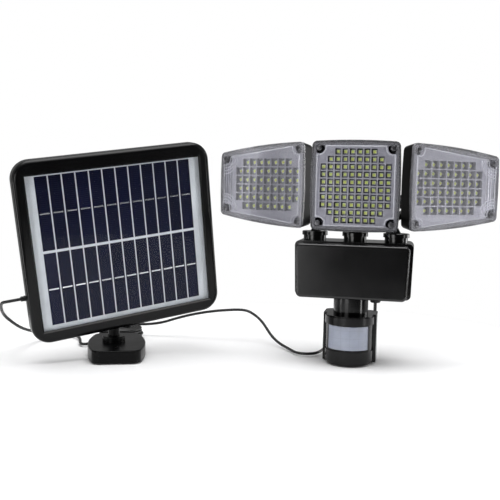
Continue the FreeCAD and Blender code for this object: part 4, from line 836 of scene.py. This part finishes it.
# the ring's middle and the cord's control points in the lamp's frame, metres
RING_LEFT, RING_BACK = -0.261, 0.037
UPPER = [(-0.325, -0.108, 0.057), (-0.333, -0.0925, 0.0485)]
MIDDLE = [(-0.333, -0.0925, 0.0485), (-0.341, -0.077, 0.040), (-0.338, -0.057, 0.026),
          (-0.3385, -0.0475, 0.022)]
LOWER = [(-0.3385, -0.0475, 0.022), (-0.339, -0.038, 0.018), (-0.340, -0.018, 0.012),
         (-0.337, 0.0, 0.005), (-0.331, 0.0085, 0.00325)]
TO_RING = [(-0.331, 0.0085, 0.00325), (-0.325, 0.017, 0.0015), (-0.309, 0.023, 0.0015),
           (-0.297, 0.008, 0.0015), (-0.290, -0.008, 0.0015), (-0.2845, -0.017, 0.0015),
           (-0.278, -0.016, 0.0015), (-0.2785, -0.0075, 0.0015), (-0.284, 0.005, 0.0015),
           (-0.286, 0.017, 0.0015)]
HOME = [(-0.228, 0.0605, 0.012), (-0.197, 0.064, 0.023), (-0.168, 0.064, 0.030), (-0.141, 0.069, 0.033),
        (-0.125, 0.073, 0.033), (-0.114, 0.071, 0.028), (-0.105, 0.066, 0.022), (-0.098, 0.060, 0.015),
        (-0.091, 0.054, 0.008), (-0.081, 0.046, 0.0025), (-0.067, 0.027, 0.0015), (-0.058, 0.012, 0.0015),
        (-0.0474, 0.0092, 0.0015), (-0.0377, 0.0144, 0.0015), (-0.032, 0.030, 0.002), (-0.024, 0.052, 0.009),
        (-0.015, 0.071, 0.025), (-0.006, 0.075, 0.044), (-0.002, 0.061, 0.0567), (-0.002, 0.0385, 0.0567)]


def ring_turns():
    """The put-away cord: four layers of turns, in and out again, clockwise from above."""
    inner, pitch, layer, floor = 0.0108, 0.0031, 0.00305, 0.0015
    per_turn, wider = 16, 1 / 0.981  # control points lie outside the smooth curve
    points = []
    for level in range(4):
        turns = 5 if level < 3 else 4.25
        for step in range(int(turns * per_turn)):
            turn = step / per_turn
            out = min(turn, 4) if level % 2 else 4 - min(turn, 4)
            climb = max(0.0, (turn - 4.75) / 0.25) if level < 3 else 0.0
            angle = math.pi - 2 * math.pi * turn
            radius = (inner + out * pitch) * wider
            points.append((RING_LEFT + radius * math.cos(angle), RING_BACK + radius * math.sin(angle),
                           floor + (level + climb) * layer))
    return points


class Cord(bpy.types.Operator):
    """Lays the cord from the panel over the floor to the plug under the lamp"""

    bl_idname = "light.lay_cord"
    bl_label = "Cord"

    def execute(self, context):
        look = context.scene.light_finishes
        thick = look.cord_thick
        jacket = cord_jacket("cord_rubber", look.rubber)

        def from_lamp(points):
            return [LAMP @ Vector(p) for p in points]

        leads = (
            ("lead_upper", [GLAND_IN, GLAND_OUT] + from_lamp(UPPER), "panel", "panel_knuckle",
             "cord_lead_upper", 1),
            ("lead_middle", from_lamp(MIDDLE), "panel_knuckle", "panel_post", "cord_lead_middle", 0),
            ("lead_lower", from_lamp(LOWER), "panel_post", "stand_and_lamp", "cord_lead_lower", 0),
        )
        for name, points, first, second, node, start in leads:
            line = line_along(points)
            lead = swept(name, line, thick / 2)
            lead.data.materials.append(jacket)
            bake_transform(lead)
            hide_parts(node)
        points = from_lamp(TO_RING + ring_turns() + HOME)
        cord = nurbs("cord", points, thick)
        cord.data.materials.append(jacket)
        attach(cord, "stand_and_lamp")
        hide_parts("cord_left", "cord_coil", "cord_right")
        line = line_along(points)
        return {"FINISHED"}


class SleeveRings(bpy.types.Operator):
    """Puts the bead rings on the strain relief and the switch boot"""

    bl_idname = "light.place_rings"
    bl_label = "Sleeve rings"

    def execute(self, context):
        look = context.scene.light_finishes
        tree = ring_tree("bead_ring", moulded("ring_rubber", look.rubber, 0.45, edge=0.0002))
        count, ring_radius = look.sleeve_rings, 0.003
        first, run = 0.0915, 0.0085
        steps = [first + run * i / max(1, count - 1) for i in range(count)]
        points = [PANEL @ Vector((-x, RELIEF_DEEP, RELIEF_LOW)) for x in steps]
        relief_start, relief_long, relief_radius, relief_thinner = 0.090, 0.011, 0.0032, 0.001
        spread = [(relief_radius - (x - relief_start) / relief_long * relief_thinner) / ring_radius
                  for x in steps]
        made = repeat("relief_rings", points, directions(PANEL, (1, 0, 0), count), tree,
                      {"Radius": ring_radius, "Bead": 0.0004}, "panel", spread)
        boot_across, boot_deep, heights = 0.0227, -0.004, (0.0618, 0.063, 0.0642)
        points = [LAMP @ Vector((boot_across, boot_deep, z)) for z in heights]
        boot_low, boot_tall, boot_radius, boot_wider = 0.061, 0.0045, 0.0042, 0.0022
        spread = [(boot_radius + (z - boot_low) / boot_tall * boot_wider) / ring_radius for z in heights]
        made = repeat("boot_rings", points, directions(LAMP, (0, 0, 1), len(heights)), tree,
                      {"Radius": ring_radius, "Bead": 0.00035}, "stand_and_lamp", spread)
        return {"FINISHED"}


class Stage(bpy.types.Operator):
    """Sets the pale floor, the soft lights, the surroundings and the camera"""

    bl_idname = "light.set_stage"
    bl_label = "Stage"

    def execute(self, context):
        look = context.scene.light_finishes
        finish, tree, place = new_finish("pale_floor")
        speck = noise(tree, place, 300.0, 3.0)
        shader = add(tree, "ShaderNodeBsdfPrincipled",
                     Base_Color=blended(tree, speck, (0.94, 0.94, 0.95), (0.97, 0.97, 0.97)), Roughness=0.7)
        shader.inputs["Specular IOR Level"].default_value = 0.2
        close(tree, shader)
        rim = [(0, -0.0015), (0.35, -0.0015), (0.38, -0.004), (0, -0.008)]
        floor = link("floor", turned_mesh("floor", rim, 96))
        floor.data.materials.append(finish)

        world = bpy.data.worlds.new("soft_room")
        context.scene.world = world
        world.use_nodes = True
        tree = world.node_tree
        tree.nodes.clear()
        way = add(tree, "ShaderNodeTexCoord").outputs["Generated"]
        axes = add(tree, "ShaderNodeSeparateXYZ", Vector=way).outputs
        behind = ranged(tree, axes[1], -0.6, 0.6, 0.04, 0.3)
        above = ranged(tree, axes[2], 0.5, 0.95, 0.0, 0.9)
        room = maths(tree, "MAXIMUM", behind, above)
        seen = add(tree, "ShaderNodeLightPath").outputs["Is Camera Ray"]
        strength = add(tree, "ShaderNodeMix")
        for index, value in ((0, seen), (2, room)):
            tree.links.new(value, strength.inputs[index])
        strength.inputs[3].default_value = 1.0
        back = add(tree, "ShaderNodeBackground", Color=(1, 1, 1, 1), Strength=strength.outputs[0])
        add(tree, "ShaderNodeOutputWorld", Surface=back.outputs[0])

        for name, (where, wide, tall, bright) in LIGHTS.items():
            data = bpy.data.lights.new(name, "AREA")
            data.shape = "RECTANGLE"
            data.size, data.size_y = wide, tall
            data.energy = math.pi * wide * tall * bright * look.studio_light
            lamp = bpy.data.objects.new(name, data)
            context.scene.collection.objects.link(lamp)
            lamp.location = where
            lamp.rotation_euler = (LIGHT_AIM - Vector(where)).to_track_quat("-Z", "Y").to_euler()

        yaw, pitch, roll = CAMERA_YAW, CAMERA_PITCH, CAMERA_ROLL
        ahead = Vector((-math.sin(yaw) * math.cos(pitch), math.cos(yaw) * math.cos(pitch), -math.sin(pitch)))
        right = Vector((math.cos(yaw), math.sin(yaw), 0))
        up = right.cross(ahead)
        right, up = right * math.cos(roll) + up * math.sin(roll), up * math.cos(roll) - right * math.sin(roll)
        data = bpy.data.cameras.new("camera")
        data.lens, data.sensor_width = 54, 36
        data.clip_start, data.clip_end = 0.05, 20
        camera = bpy.data.objects.new("camera", data)
        context.scene.collection.objects.link(camera)
        camera.matrix_world = (Matrix.Translation(CAMERA_AT)
                               @ Matrix((right, up, -ahead)).transposed().to_4x4())
        context.scene.camera = camera
        context.scene.view_settings.view_transform = "Standard"
        return {"FINISHED"}


class LightPanel(bpy.types.Panel):
    """Lists the finishes and the steps"""

    bl_idname = "VIEW3D_PT_security_light"
    bl_label = "Security light"
    bl_space_type = "VIEW_3D"
    bl_region_type = "UI"
    bl_category = "Security light"

    def draw(self, context):
        look = context.scene.light_finishes
        for name in LightFinishes.__annotations__:
            self.layout.prop(look, name)
        for step in STEPS:
            self.layout.operator(step.bl_idname)


STEPS = (Dressing, LightChips, LensBeads, Screws, SleeveRings, Cord, Stage)
CLASSES = (LightFinishes, *STEPS, LightPanel)


def register():
    for item in CLASSES:
        bpy.utils.register_class(item)
    bpy.types.Scene.light_finishes = PointerProperty(type=LightFinishes)


def unregister():
    del bpy.types.Scene.light_finishes
    for item in reversed(CLASSES):
        bpy.utils.unregister_class(item)


def main():
    register()
    bpy.ops.light.dress_pieces()
    bpy.ops.light.place_chips()
    bpy.ops.light.raise_beads()
    bpy.ops.light.place_screws()
    bpy.ops.light.place_rings()
    bpy.ops.light.lay_cord()
    bpy.ops.light.set_stage()


if __name__ == "__main__":
    main()
